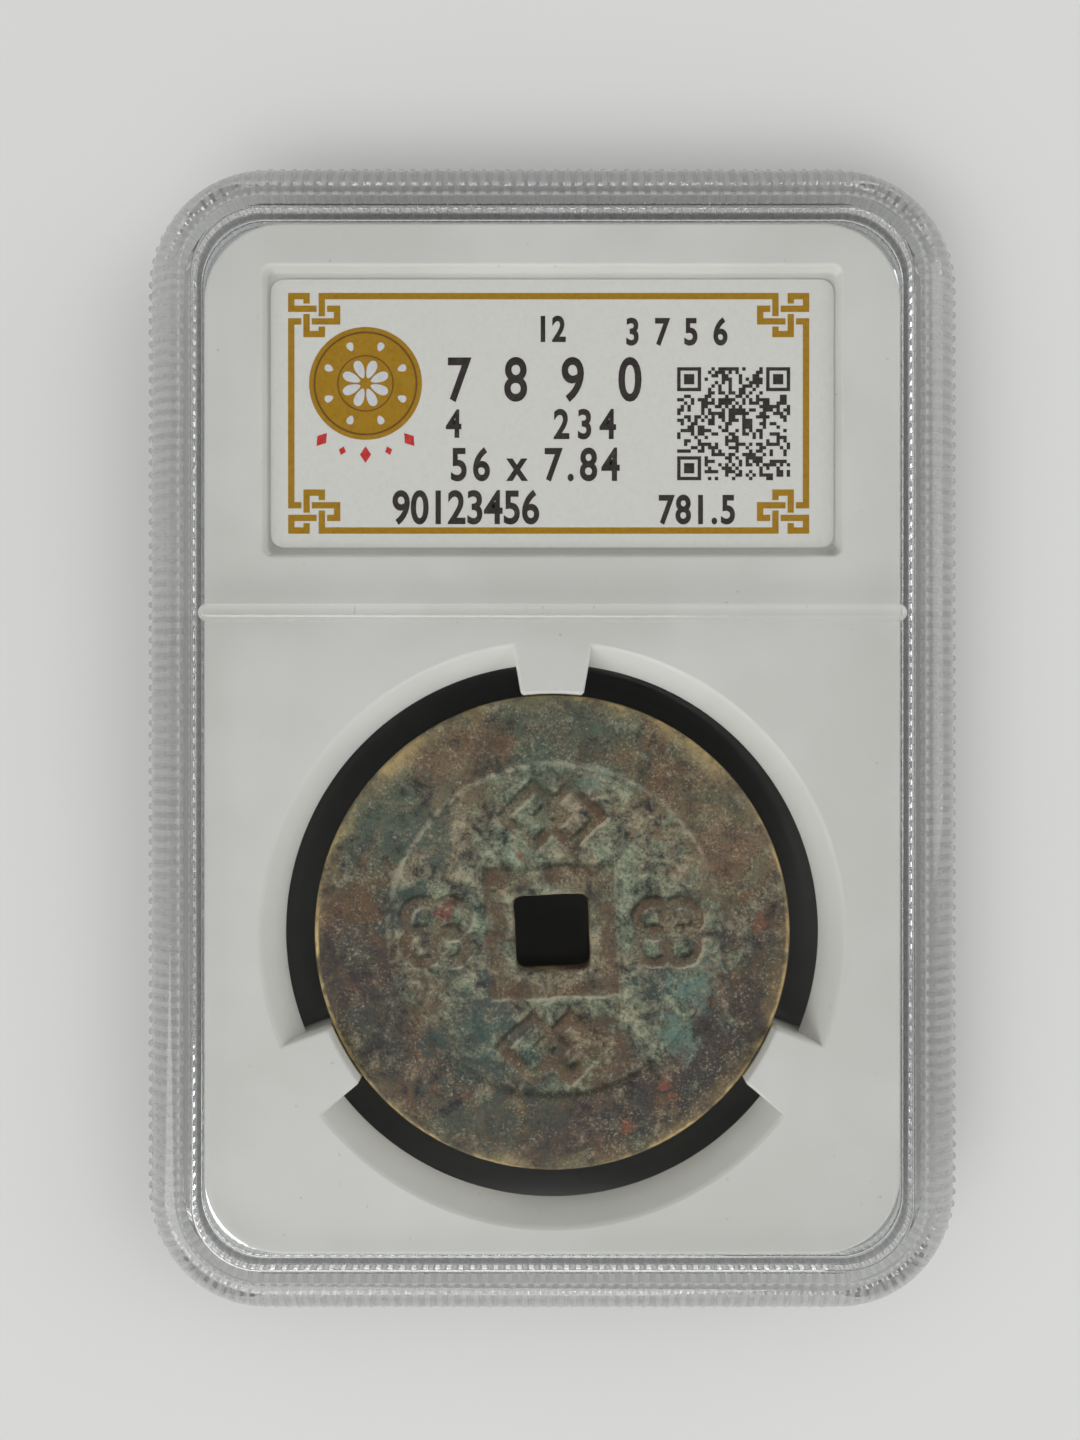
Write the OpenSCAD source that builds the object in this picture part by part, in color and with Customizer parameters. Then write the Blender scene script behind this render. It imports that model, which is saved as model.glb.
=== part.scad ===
// Graded coin slab: a clear case of a front and a rear shell with a reeded edge, a
// white three-prong insert, a printed label and a cast coin with a square hole.
// It lies on its back: +Z out of the front window, +Y towards the label, origin in
// the middle of the face that it rests on. Millimetres.

/* [Case] */
// Width of the closed case over its reeds
case_w = 61; // [60:0.5:80]
// Length of the closed case over its reeds
case_l = 86; // [85:0.5:120]
// Thickness of the closed case over its rims
case_t = 8.4; // [7.6:0.1:12]
// Corner radius of the smooth wall inside the reeds
corner_r = 8.8; // [7.5:0.1:13]
// Radius of the rounded shoulder between the reeds and the rim
shoulder_r = 2.8; // [1.8:0.1:3.2]
// Wall from its smooth outer face to the inner face of the raised rim
rim_w = 3.8; // [3.4:0.1:4.6]
// Wall from its smooth outer face to the cavity
wall_t = 3.9; // [3.5:0.1:5]
// Depth of each window below its rim
window_sink = 0.8; // [0.4:0.05:1.2]
// Thickness of each window
window_t = 1.2; // [0.8:0.05:1.6]
// Bevel on the inner edge of each rim
rim_bevel = 0.2; // [0.1:0.05:0.4]

/* [Reeds] */
// Spacing of the reeds along the wall, adjusted to close the ring
reed_pitch = 0.9; // [0.7:0.05:1.5]
// How far the reeds stand out of the smooth wall
reed_h = 0.4; // [0.2:0.05:0.6]
// Width of a reed at its tip
reed_tip_w = 0.36; // [0.2:0.02:0.4]
// Width of a reed at its root
reed_root_w = 0.56; // [0.42:0.02:0.64]
// Height of the land from which the reeds stand
reed_land = 0.06; // [0.04:0.01:0.1]

/* [Joint between the shells] */
// Width of the tongue
tongue_w = 0.9; // [0.6:0.05:1.2]
// Height of the tongue above the parting plane
tongue_h = 1; // [0.6:0.05:1.4]
// Wall between the smooth outer face and the tongue
tongue_inset = 1.5; // [1.2:0.05:1.7]
// Clearance of the tongue in its groove, on each side and at its tip
tongue_clear = 0.1; // [0.05:0.01:0.15]

/* [Crossbar] */
// Width of the half-round bar across the front window
bar_w = 1.3; // [0.8:0.1:1.5]
// Gap between each end of the bar and the rim
bar_end_gap = 0.15; // [0.1:0.05:1]
// Distance from the coin opening to the middle of the bar
bar_offset = 2.2; // [1.5:0.1:4]

/* [Insert] */
// Clearance between the insert and the wall of the cavity
insert_clear = 0.2; // [0.1:0.05:0.4]
// How much rounder the corners of the insert are than those of the cavity
insert_corner_ease = 1; // [0.5:0.1:2]
// Free height between the insert and the front window
insert_play = 0.1; // [0.05:0.05:0.2]
// Bevel along the edges of the insert's faces
insert_bevel = 0.25; // [0.1:0.05:0.5]
// Web between the coin opening and the lower edge of the insert
hole_margin = 2; // [1:0.1:6]
// Gap between the coin and the narrowest part of the coin opening
hole_gap = 2.3; // [1.5:0.1:3]
// How much wider the radius of the coin opening is at the faces of the insert
hole_flare = 1.5; // [0.5:0.1:1.8]

/* [Prongs] */
// Number of prongs
prongs = 3; // [3:1:4]
// Width of a prong at its tip
prong_tip_w = 4.8; // [3:0.1:6]
// Width of a prong where it leaves the face of the insert
prong_base_w = 6; // [5:0.1:8]
// Corner radius of a prong's tip
prong_tip_r = 0.4; // [0.2:0.05:0.8]
// How far the ledge of a prong reaches under the coin
ledge_reach = 0.5; // [0.3:0.05:1]
// Width of that ledge
ledge_w = 3.6; // [2:0.1:4.5]
// Clearance between the coin's edge and the prong tips
coin_clear = 0.08; // [0.05:0.01:0.15]

/* [Label] */
// Width of the label
label_w = 42.4; // [30:0.1:46]
// Length of the label
label_l = 20.2; // [14:0.1:21]
// Thickness of the label
label_t = 0.15; // [0.1:0.05:0.4]
// Corner radius of the label
label_r = 1; // [0.5:0.1:3]
// Clearance beside the label in its recess
recess_clear_x = 0.3; // [0.2:0.05:1]
// Clearance below the label in its recess
recess_clear_low = 0.55; // [0.2:0.05:1]
// Clearance above the label in its recess
recess_clear_high = 0.6; // [0.2:0.05:1.5]
// Depth of the recess below the face of the insert
recess_depth = 0.9; // [0.5:0.05:2]
// Corner radius of the recess
recess_r = 0.6; // [0.3:0.1:2]
// Web between the recess and the upper edge of the insert
recess_margin = 3.35; // [2:0.05:8]

/* [Coin] */
// Diameter of the coin
coin_d = 36; // [24:0.1:36.5]
// Thickness of the coin
coin_t = 2.3; // [1.5:0.1:2.8]
// Bevel round the coin's edge
coin_bevel = 0.15; // [0.1:0.05:0.4]
// Width of the broad outer rim
coin_rim_w = 5.4; // [2:0.1:6]
// Depth of the field below the rims
coin_field_depth = 0.35; // [0.1:0.05:0.6]
// Side of the square hole
coin_hole = 5.7; // [4:0.1:8]
// Corner radius of the square hole
coin_hole_r = 0.4; // [0.2:0.1:1]
// Width of the raised rim round the square hole
coin_hole_rim = 2.1; // [1:0.05:2.4]

/* [Hidden] */
$fn = 96;

// Overshoot of a cut past the face that it opens
over = 1;

// Case: the smooth outline, the parting plane and the two windows
smooth_w = case_w - 2 * reed_h;
smooth_l = case_l - 2 * reed_h;
half_t = case_t / 2;
reed_top = half_t - shoulder_r;
rim_in_w = smooth_w - 2 * rim_w;
rim_in_l = smooth_l - 2 * rim_w;
rim_in_r = corner_r - rim_w;
cavity_w = smooth_w - 2 * wall_t;
cavity_l = smooth_l - 2 * wall_t;
cavity_r = corner_r - wall_t;
floor_z = window_sink + window_t;
cavity_h = case_t - 2 * floor_z;

// Reeds: the number that closes the ring, and the lengths along the smooth outline
side_x = smooth_w - 2 * corner_r;
side_y = smooth_l - 2 * corner_r;
arc_len = PI * corner_r / 2;
ring_len = 2 * side_x + 2 * side_y + 4 * arc_len;
reed_count = 4 * round(ring_len / reed_pitch / 4);
reed_step = ring_len / reed_count;

// Insert: its outline, faces and the coin opening
insert_w = cavity_w - 2 * insert_clear;
insert_l = cavity_l - 2 * insert_clear;
insert_r = cavity_r + insert_corner_ease;
insert_t = cavity_h - insert_play;
insert_top = floor_z + insert_t;
coin_r = coin_d / 2;
hole_r = coin_r + hole_gap;
hole_face_r = hole_r + hole_flare;
coin_y = -insert_l / 2 + hole_margin + hole_face_r;
coin_z = floor_z + (insert_t - coin_t) / 2;
seat_r = coin_r + coin_clear;
prong_tip_u = sqrt(pow(seat_r, 2) - pow(prong_tip_w / 2, 2));
prong_root_u = hole_face_r + 2 * over;

// Crossbar
bar_r = bar_w / 2;
bar_len = rim_in_w - 2 * bar_end_gap;
bar_y = coin_y + hole_face_r + bar_offset;

// Label, on the floor of its recess
recess_w = label_w + 2 * recess_clear_x;
recess_l = label_l + recess_clear_low + recess_clear_high;
recess_y = insert_l / 2 - recess_margin - recess_l / 2;
recess_z = insert_top - recess_depth;
label_y = recess_y - recess_l / 2 + recess_clear_low + label_l / 2;

// Point on the smooth outline at distance s along it, moved out by o. The outline
// starts at the lower end of the right side and runs round by way of the label end.
function side_point(s, o, t = 0) =
    let (
        turn = 90 * t,
        along = t % 2 == 0 ? side_y : side_x,
        half = t % 2 == 0 ? smooth_w / 2 : smooth_l / 2,
        p = s < along
            ? [half + o, s - along / 2]
            : let (a = (s - along) / arc_len * 90)
              [half - corner_r + (corner_r + o) * cos(a), along / 2 + (corner_r + o) * sin(a)]
    )
    s < along + arc_len
        ? [p.x * cos(turn) - p.y * sin(turn), p.x * sin(turn) + p.y * cos(turn)]
        : side_point(s - along - arc_len, o, t + 1);

// Distance along the outline, kept within one turn
function wrapped(s) = s < 0 ? s + ring_len : s >= ring_len ? s - ring_len : s;

// Outline of the reeded band: each reed is a low trapezoid on the land
module reed_outline() {
    corners = [
        [-reed_root_w / 2, reed_land], [-reed_tip_w / 2, reed_h],
        [reed_tip_w / 2, reed_h], [reed_root_w / 2, reed_land]
    ];
    polygon([
        for (i = [0 : reed_count - 1])
            for (c = corners) side_point(wrapped((i + 0.5) * reed_step + c[0]), c[1])
    ]);
}

// Rectangle with round corners, centred
module round_rect(w, l, r) {
    square([w - 2 * r, l], center = true);
    square([w, l - 2 * r], center = true);
    for (x = [-1, 1], y = [-1, 1])
        translate([x * (w / 2 - r), y * (l / 2 - r)]) circle(r);
}

// Plate with round corners whose edge has the section given as a child: the section
// starts at x = 0 on the axis of a corner and reaches out to x = r
module edged_plate(w, l, r, h) {
    core_w = w - 2 * r;
    core_l = l - 2 * r;
    translate([-core_w / 2, -core_l / 2]) cube([core_w, core_l, h]);
    for (t = [0 : 3])
        rotate(90 * t) {
            half = (t % 2 == 0 ? core_w : core_l) / 2;
            along = t % 2 == 0 ? core_l : core_w;
            translate([half, along / 2]) rotate_extrude(angle = 90) children();
            translate([half, along / 2]) rotate([90, 0, 0]) linear_extrude(along) children();
        }
}

// Section of a shell's rounded shoulder, from the top of the reeds to the rim
module shoulder_section() {
    square([corner_r - shoulder_r, shoulder_r]);
    intersection() {
        translate([corner_r - shoulder_r, 0]) circle(shoulder_r);
        square([corner_r, shoulder_r]);
    }
}

// Section of the insert's edge, bevelled at both faces
module insert_section() {
    polygon([
        [0, 0],
        [insert_r - insert_bevel, 0],
        [insert_r, insert_bevel],
        [insert_r, insert_t - insert_bevel],
        [insert_r - insert_bevel, insert_t],
        [0, insert_t]
    ]);
}

// One half of the case, from the parting plane at z = 0 up to its rim
module shell_half() {
    window_z = half_t - window_sink;
    difference() {
        union() {
            linear_extrude(reed_top) reed_outline();
            translate([0, 0, reed_top])
                edged_plate(smooth_w, smooth_l, corner_r, shoulder_r) shoulder_section();
        }
        translate([0, 0, -over])
            linear_extrude(over + half_t - floor_z) round_rect(cavity_w, cavity_l, cavity_r);
        translate([0, 0, window_z])
            linear_extrude(window_sink + over) round_rect(rim_in_w, rim_in_l, rim_in_r);
        translate([0, 0, half_t - rim_bevel])
            edged_plate(rim_in_w + 2 * rim_bevel, rim_in_l + 2 * rim_bevel, rim_in_r + rim_bevel, rim_bevel)
                polygon([[0, 0], [rim_in_r, 0], [rim_in_r + rim_bevel, rim_bevel], [0, rim_bevel]]);
    }
}

// Ring that follows the wall between two insets from the smooth outer face
module wall_ring(inset_out, inset_in, h) {
    linear_extrude(h)
        difference() {
            round_rect(smooth_w - 2 * inset_out, smooth_l - 2 * inset_out, corner_r - inset_out);
            round_rect(smooth_w - 2 * inset_in, smooth_l - 2 * inset_in, corner_r - inset_in);
        }
}

// Round-ended bar along X, to be sunk to its middle in the window
module crossbar() {
    half = bar_len / 2 - bar_r;
    rotate([0, 90, 0])
        rotate_extrude()
            intersection() {
                union() {
                    translate([0, -half]) square([bar_r, 2 * half]);
                    for (end = [-half, half]) translate([0, end]) circle(bar_r);
                }
                translate([0, -bar_len]) square([bar_r, 2 * bar_len]);
            }
}

// Outline of a prong along +Y from the middle of the coin, with a rounded tip
module prong_outline() {
    slope = atan2((prong_base_w - prong_tip_w) / 2, hole_face_r - prong_tip_u);
    function half_w(u) = prong_tip_w / 2 + (u - prong_tip_u) * tan(slope);
    mid_u = prong_tip_u + prong_tip_r;
    mid_v = half_w(mid_u) - prong_tip_r / cos(slope);
    side_v = mid_v + prong_tip_r * cos(slope);
    side_u = mid_u - prong_tip_r * sin(slope);
    root_v = half_w(prong_root_u);
    polygon([
        [-root_v, prong_root_u], [-side_v, side_u], [-mid_v, mid_u], [-mid_v, prong_tip_u],
        [mid_v, prong_tip_u], [mid_v, mid_u], [side_v, side_u], [root_v, prong_root_u]
    ]);
    for (side = [-1, 1]) translate([side * mid_v, mid_u]) circle(prong_tip_r);
}

// Prong with the ledge behind its tip. It runs past both faces of the insert, whose
// rear face is at z = 0.
module prong() {
    seat_z = coin_z - floor_z;
    ledge_u = coin_r - ledge_reach;
    difference() {
        translate([0, 0, -over]) linear_extrude(insert_t + 2 * over) prong_outline();
        translate([0, 0, seat_z]) cylinder(h = insert_t + over, r = seat_r);
    }
    translate([-ledge_w / 2, ledge_u, -over]) cube([ledge_w, prong_root_u - ledge_u, seat_z + over]);
}

// Opening for the coin through the insert, narrowest at its middle, less the prongs
module coin_opening() {
    mid = insert_t / 2;
    flare_over = hole_flare * over / mid;
    difference() {
        for (m = [0, 1])
            translate([0, 0, mid]) mirror([0, 0, m])
                cylinder(h = mid + over, r1 = hole_r, r2 = hole_face_r + flare_over);
        for (i = [0 : prongs - 1]) rotate(i * 360 / prongs) prong();
    }
}

// Clear rear half of the case, with the tongue that enters the front half
module rear_shell() color([0.9, 0.92, 0.93, 0.35]) {
    translate([0, 0, half_t]) mirror([0, 0, 1]) shell_half();
    translate([0, 0, half_t - over]) wall_ring(tongue_inset, tongue_inset + tongue_w, over + tongue_h);
}

// Clear front half of the case, with the groove for the tongue and the crossbar
module front_shell() color([0.93, 0.95, 0.96, 0.3]) {
    difference() {
        translate([0, 0, half_t]) shell_half();
        translate([0, 0, half_t - over])
            wall_ring(
                tongue_inset - tongue_clear,
                tongue_inset + tongue_w + tongue_clear,
                over + tongue_h + tongue_clear
            );
    }
    translate([0, bar_y, case_t - window_sink]) crossbar();
}

// White core that fills the case, with the label recess and the prongs
module insert() color([0.93, 0.93, 0.91])
    difference() {
        translate([0, 0, floor_z]) edged_plate(insert_w, insert_l, insert_r, insert_t) insert_section();
        translate([0, coin_y, floor_z]) coin_opening();
        translate([0, recess_y, recess_z])
            linear_extrude(recess_depth + over) round_rect(recess_w, recess_l, recess_r);
    }

// Printed card that lies on the floor of the recess
module label() color([0.97, 0.97, 0.96])
    translate([0, label_y, recess_z]) linear_extrude(label_t) round_rect(label_w, label_l, label_r);

// Cast coin with broad rims, a sunk field and a square hole
module coin() color([0.42, 0.38, 0.28])
    translate([0, coin_y, coin_z])
        difference() {
            rotate_extrude()
                polygon([
                    [0, 0], [coin_r - coin_bevel, 0], [coin_r, coin_bevel],
                    [coin_r, coin_t - coin_bevel], [coin_r - coin_bevel, coin_t], [0, coin_t]
                ]);
            for (z = [-over, coin_t - coin_field_depth])
                translate([0, 0, z])
                    linear_extrude(coin_field_depth + over)
                        difference() {
                            circle(coin_r - coin_rim_w);
                            square(coin_hole + 2 * coin_hole_rim, center = true);
                        }
            translate([0, 0, -over])
                linear_extrude(coin_t + 2 * over) round_rect(coin_hole, coin_hole, coin_hole_r);
        }

rear_shell();
insert();
label();
coin();
front_shell();
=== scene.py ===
"""Looks of the graded coin slab: clear reeded shells, white insert, printed label and patinated coin.

Sizes are in millimetres and are turned into metres where a mesh is made.
"""

from __future__ import annotations

import logging
import math
from dataclasses import dataclass, field
from enum import Enum
from typing import Any, Iterable, Sequence

import bmesh
import bpy
import numpy as np
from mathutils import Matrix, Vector, noise
from mathutils.geometry import tessellate_polygon

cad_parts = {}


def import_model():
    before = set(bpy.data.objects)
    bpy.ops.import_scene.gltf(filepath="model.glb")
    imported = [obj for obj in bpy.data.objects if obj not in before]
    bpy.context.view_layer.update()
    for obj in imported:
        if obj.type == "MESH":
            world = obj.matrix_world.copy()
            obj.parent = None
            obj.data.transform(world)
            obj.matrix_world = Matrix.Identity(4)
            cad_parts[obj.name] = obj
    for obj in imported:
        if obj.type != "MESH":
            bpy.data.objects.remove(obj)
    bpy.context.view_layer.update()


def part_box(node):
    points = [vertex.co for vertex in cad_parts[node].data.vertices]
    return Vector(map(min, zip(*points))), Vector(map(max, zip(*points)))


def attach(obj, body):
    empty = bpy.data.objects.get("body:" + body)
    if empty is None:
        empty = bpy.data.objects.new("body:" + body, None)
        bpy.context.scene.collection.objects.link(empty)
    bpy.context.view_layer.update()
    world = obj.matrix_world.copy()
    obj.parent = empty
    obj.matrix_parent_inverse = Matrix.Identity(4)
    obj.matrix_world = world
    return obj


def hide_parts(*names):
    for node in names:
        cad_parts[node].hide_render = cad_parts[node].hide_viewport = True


LOG = logging.getLogger("coin_slab")
MM = 0.001
WELD = 2e-7
SLIVER = 1e-7
PRINT_WELD = 1e-8
FAR = 1e3
Colour = tuple[float, float, float, float]
Point = tuple[float, float, float]
Rect = tuple[float, float, float, float]
Lobe = tuple[float, float, float]


def tone(red: int, green: int, blue: int) -> Colour:
    """Turns a colour as seen on a screen into the linear one that shaders take.

    Args:
        red: red from 0 to 255.
        green: green from 0 to 255.
        blue: blue from 0 to 255.

    Returns:
        The linear colour with full alpha.
    """
    shares = [part / 255 for part in (red, green, blue)]
    linear = [s / 12.92 if s < 0.0404 else ((s + 0.055) / 1.055) ** 2.4 for s in shares]
    return (linear[0], linear[1], linear[2], 1.0)


def ease(values: np.ndarray, low: float, high: float) -> np.ndarray:
    """Runs smoothly from 0 at low to 1 at high.

    Args:
        values: the values to grade.
        low: where the result is 0.
        high: where the result is 1.

    Returns:
        The graded values.
    """
    share = np.clip((values - low) / (high - low), 0.0, 1.0)
    return share * share * (3 - 2 * share)


def quarter(steps: int) -> list[float]:
    """Lists the angles of a quarter turn in equal steps, with both ends."""
    return [math.pi / 2 * k / steps for k in range(steps + 1)]


def box_mm(node: str) -> tuple[np.ndarray, np.ndarray]:
    """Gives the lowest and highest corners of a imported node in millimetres.

    Args:
        node: name of the node.

    Returns:
        The two corners.
    """
    low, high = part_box(node)
    return np.array(low) / MM, np.array(high) / MM


@dataclass(frozen=True)
class Outline:
    """A rectangle with round corners, walked counter-clockwise from the lower end of its right side."""

    width: float
    length: float
    radius: float
    middle: tuple[float, float] = (0.0, 0.0)

    @property
    def arc(self) -> float:
        """Length of one round corner."""
        return math.pi * self.radius / 2

    @property
    def sides(self) -> tuple[tuple[float, float], ...]:
        """Straight length of each side, and how far it lies from the middle."""
        upright = (self.length - 2 * self.radius, self.width / 2)
        level = (self.width - 2 * self.radius, self.length / 2)
        return (upright, level, upright, level)

    @property
    def perimeter(self) -> float:
        """Length of the whole outline."""
        return sum(along + self.arc for along, _ in self.sides)

    def at(self, distance: float) -> tuple[Vector, Vector]:
        """Finds one point of the outline.

        Args:
            distance: length along the outline.

        Returns:
            The point and the outward normal there.
        """
        left = distance % self.perimeter
        turn = 0
        while left >= self.sides[turn][0] + self.arc and turn < 3:
            left -= self.sides[turn][0] + self.arc
            turn += 1
        along, half = self.sides[turn]
        angle = max(0.0, left - along) / self.radius
        normal = Vector((math.cos(angle), math.sin(angle)))
        if left < along:
            point = Vector((half, left - along / 2))
        else:
            point = Vector((half - self.radius, along / 2)) + self.radius * normal
        quarter = turn * math.pi / 2
        spin = ((math.cos(quarter), -math.sin(quarter)), (math.sin(quarter), math.cos(quarter)))
        turned = [Vector((row[0] * v.x + row[1] * v.y for row in spin)) for v in (point, normal)]
        return turned[0] + Vector(self.middle), turned[1]

    def walk(self, distances: Iterable[float]) -> tuple[np.ndarray, np.ndarray]:
        """Finds many points of the outline.

        Args:
            distances: lengths along the outline.

        Returns:
            The points and the outward normals, one row each.
        """
        found = [self.at(distance) for distance in distances]
        return np.array([p[:] for p, _ in found]), np.array([n[:] for _, n in found])

    def stops(self, corner_steps: int) -> list[float]:
        """Lists the lengths at which the outline is drawn.

        Args:
            corner_steps: number of steps round each corner.

        Returns:
            The ends of the straight sides and the steps between them.
        """
        found: list[float] = []
        start = 0.0
        for along, _ in self.sides:
            found.append(start)
            found += [start + along + self.arc * k / corner_steps for k in range(corner_steps)]
            start += along + self.arc
        return found

    def inset(self, depth: float, corner_steps: int) -> np.ndarray:
        """Draws the outline moved inwards.

        Args:
            depth: how far inwards, or outwards if negative.
            corner_steps: number of steps round each corner.

        Returns:
            The points.
        """
        points, normals = self.walk(self.stops(corner_steps))
        return points - depth * normals


class Soup:
    """Points and faces gathered in millimetres until they become one mesh."""

    def __init__(self) -> None:
        """Starts with nothing."""
        self.points: list[Point] = []
        self.faces: list[tuple[int, ...]] = []
        self.flat: list[bool] = []

    def ring(self, plan: np.ndarray, height: float | np.ndarray) -> list[int]:
        """Adds a closed row of points.

        Args:
            plan: the points as seen from above.
            height: their height, or one height each.

        Returns:
            The numbers of the points.
        """
        first = len(self.points)
        heights = np.broadcast_to(np.asarray(height, dtype=float), (len(plan),))
        self.points += [(float(p[0]), float(p[1]), float(h)) for p, h in zip(plan, heights)]
        return list(range(first, len(self.points)))

    def face(self, corners: Sequence[int], flat: bool = False) -> None:
        """Adds one face, and notes whether it is part of a flat surface."""
        self.faces.append(tuple(corners))
        self.flat.append(flat)

    def bridge(self, first: Sequence[int], second: Sequence[int], flat: bool = False) -> None:
        """Joins two closed rows of as many points with quads.

        Args:
            first: one row.
            second: the other row.
            flat: whether the quads are part of a flat surface.
        """
        count = len(first)
        for k in range(count):
            after = (k + 1) % count
            self.face((first[k], first[after], second[after], second[k]), flat)

    def stack(self, rings: Sequence[Sequence[int]]) -> None:
        """Joins a series of closed rows, each to the next."""
        for first, second in zip(rings, rings[1:]):
            self.bridge(first, second)

    def plate(self, *loops: Sequence[int]) -> None:
        """Fills the flat space between an outer row and the rows inside it.

        Args:
            loops: the outer row first, then the rows of the holes.
        """
        if len(loops) == 1:
            self.face(loops[0], flat=True)
            return
        numbers = [number for loop in loops for number in loop]
        plans = [[Vector((*self.points[number][:2], 0.0)) for number in loop] for loop in loops]
        for corners in tessellate_polygon(plans):
            self.face([numbers[c] for c in corners], flat=True)

    def slab(self, plan: np.ndarray, low: float, high: float) -> None:
        """Adds a thin closed solid with a given plan between two heights."""
        bottom = self.ring(plan, low)
        top = self.ring(plan, high)
        self.bridge(bottom, top)
        self.plate(bottom)
        self.plate(top)

    def build(
        self, name: str, crease: float = 32.0, values: dict[str, np.ndarray] | None = None
    ) -> bpy.types.Object:
        """Makes the mesh object, smooth but for its creases.

        Args:
            name: name of the piece.
            crease: angle in degrees above which an edge stays sharp.
            values: values for the material, one per point, by name.

        Returns:
            The object, linked to the scene.
        """
        mesh = bpy.data.meshes.new(name)
        mesh.from_pydata([(x * MM, y * MM, z * MM) for x, y, z in self.points], [], self.faces)
        work = bmesh.new()
        work.from_mesh(mesh)
        for key, kept in (values or {}).items():
            layer = work.verts.layers.float.new(key)
            for vert, value in zip(work.verts, kept):
                vert[layer] = float(value)
        mark = work.faces.layers.int.new("flat_part")
        for face, is_flat in zip(work.faces, self.flat):
            face[mark] = int(is_flat)
            face.smooth = True
        bmesh.ops.remove_doubles(work, verts=work.verts, dist=WELD)
        bmesh.ops.dissolve_degenerate(work, edges=work.edges, dist=SLIVER)
        bmesh.ops.recalc_face_normals(work, faces=work.faces)
        limit = math.radians(crease)
        for edge in work.edges:
            if len(edge.link_faces) == 2:
                kinds = {face[mark] for face in edge.link_faces}
                edge.smooth = len(kinds) == 1 and edge.calc_face_angle(0.0) < limit
        work.faces.layers.int.remove(mark)
        work.to_mesh(mesh)
        work.free()
        piece = bpy.data.objects.new(name, mesh)
        bpy.context.scene.collection.objects.link(piece)
        return piece


class Graph:
    """The node graph of one material, with short calls for the nodes that the finishes share."""

    def __init__(self, name: str) -> None:
        """Starts an empty material.

        Args:
            name: name of the material.
        """
        self.material = bpy.data.materials.new(name)
        self.material.use_nodes = True
        self.tree = self.material.node_tree
        self.tree.nodes.clear()
        self.place = self.node("ShaderNodeTexCoord").outputs["Object"]

    def node(self, kind: str, inputs: dict[Any, Any] | None = None, **settings: Any) -> bpy.types.Node:
        """Adds a node.

        Args:
            kind: Blender's name of the node type.
            inputs: values or sockets, by the name or number of the input.
            settings: properties of the node.

        Returns:
            The node.
        """
        made = self.tree.nodes.new(kind)
        for key, value in settings.items():
            setattr(made, key, value)
        for key, value in (inputs or {}).items():
            if isinstance(value, bpy.types.NodeSocket):
                self.tree.links.new(value, made.inputs[key])
            else:
                made.inputs[key].default_value = value
        return made

    def noise(self, size: float, detail: float = 4.0, rough: float = 0.55, warp: float = 0.0) -> Any:
        """Adds cloudy noise.

        Args:
            size: size of its patches in millimetres.
            detail: number of finer layers.
            rough: strength of the finer layers.
            warp: how much it is distorted.

        Returns:
            The socket of its value.
        """
        values = {"Vector": self.place, "Scale": 1 / (size * MM), "Detail": detail, "Roughness": rough}
        values["Distortion"] = warp
        return self.node("ShaderNodeTexNoise", values).outputs["Fac"]

    def attribute(self, name: str) -> Any:
        """Reads a value that the mesh holds at its points."""
        return self.node("ShaderNodeAttribute", attribute_name=name).outputs["Fac"]

    def math(self, operation: str, first: Any, second: Any = 0.5) -> Any:
        """Adds a sum of two values and gives its result."""
        return self.node("ShaderNodeMath", {0: first, 1: second}, operation=operation).outputs[0]

    def band(self, value: Any, low: float, high: float, start: float = 0.0, end: float = 1.0) -> Any:
        """Grades a value smoothly.

        Args:
            value: the socket to grade.
            low: value at which the result is start.
            high: value at which the result is end.
            start: result at low.
            end: result at high.

        Returns:
            The socket of the result.
        """
        values = {"Value": value, "From Min": low, "From Max": high, "To Min": start, "To Max": end}
        return self.node("ShaderNodeMapRange", values, interpolation_type="SMOOTHSTEP").outputs["Result"]

    def mix(self, share: Any, first: Any, second: Any) -> Any:
        """Mixes two colours.

        Args:
            share: how much of the second colour shows.
            first: the first colour or socket.
            second: the second colour or socket.

        Returns:
            The socket of the colour.
        """
        values = {0: share, 6: first, 7: second}
        return self.node("ShaderNodeMix", values, data_type="RGBA").outputs[2]

    def ramp(self, value: Any, stops: Sequence[tuple[float, Colour]]) -> Any:
        """Turns a value into a colour.

        Args:
            value: the socket of the value.
            stops: values and their colours, in order.

        Returns:
            The socket of the colour.
        """
        made = self.node("ShaderNodeValToRGB", {"Fac": value})
        steps = made.color_ramp.elements
        while len(steps) < len(stops):
            steps.new(1.0)
        for step, (at, colour) in zip(steps, stops):
            step.position = at
            step.color = colour
        return made.outputs["Color"]

    def bump(self, height: Any, depth: float, strength: float = 1.0, under: Any = None) -> Any:
        """Adds bump from a height.

        Args:
            height: the socket of the height.
            depth: depth of the bump in millimetres.
            strength: how much of it shows.
            under: normal that it is added to.

        Returns:
            The socket of the normal.
        """
        values = {"Height": height, "Distance": depth * MM, "Strength": strength}
        if under is not None:
            values["Normal"] = under
        return self.node("ShaderNodeBump", values).outputs["Normal"]

    def close(self, shader: Any) -> bpy.types.Material:
        """Joins a shader to the output and gives the material."""
        self.node("ShaderNodeOutputMaterial", {"Surface": shader})
        return self.material


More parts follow.
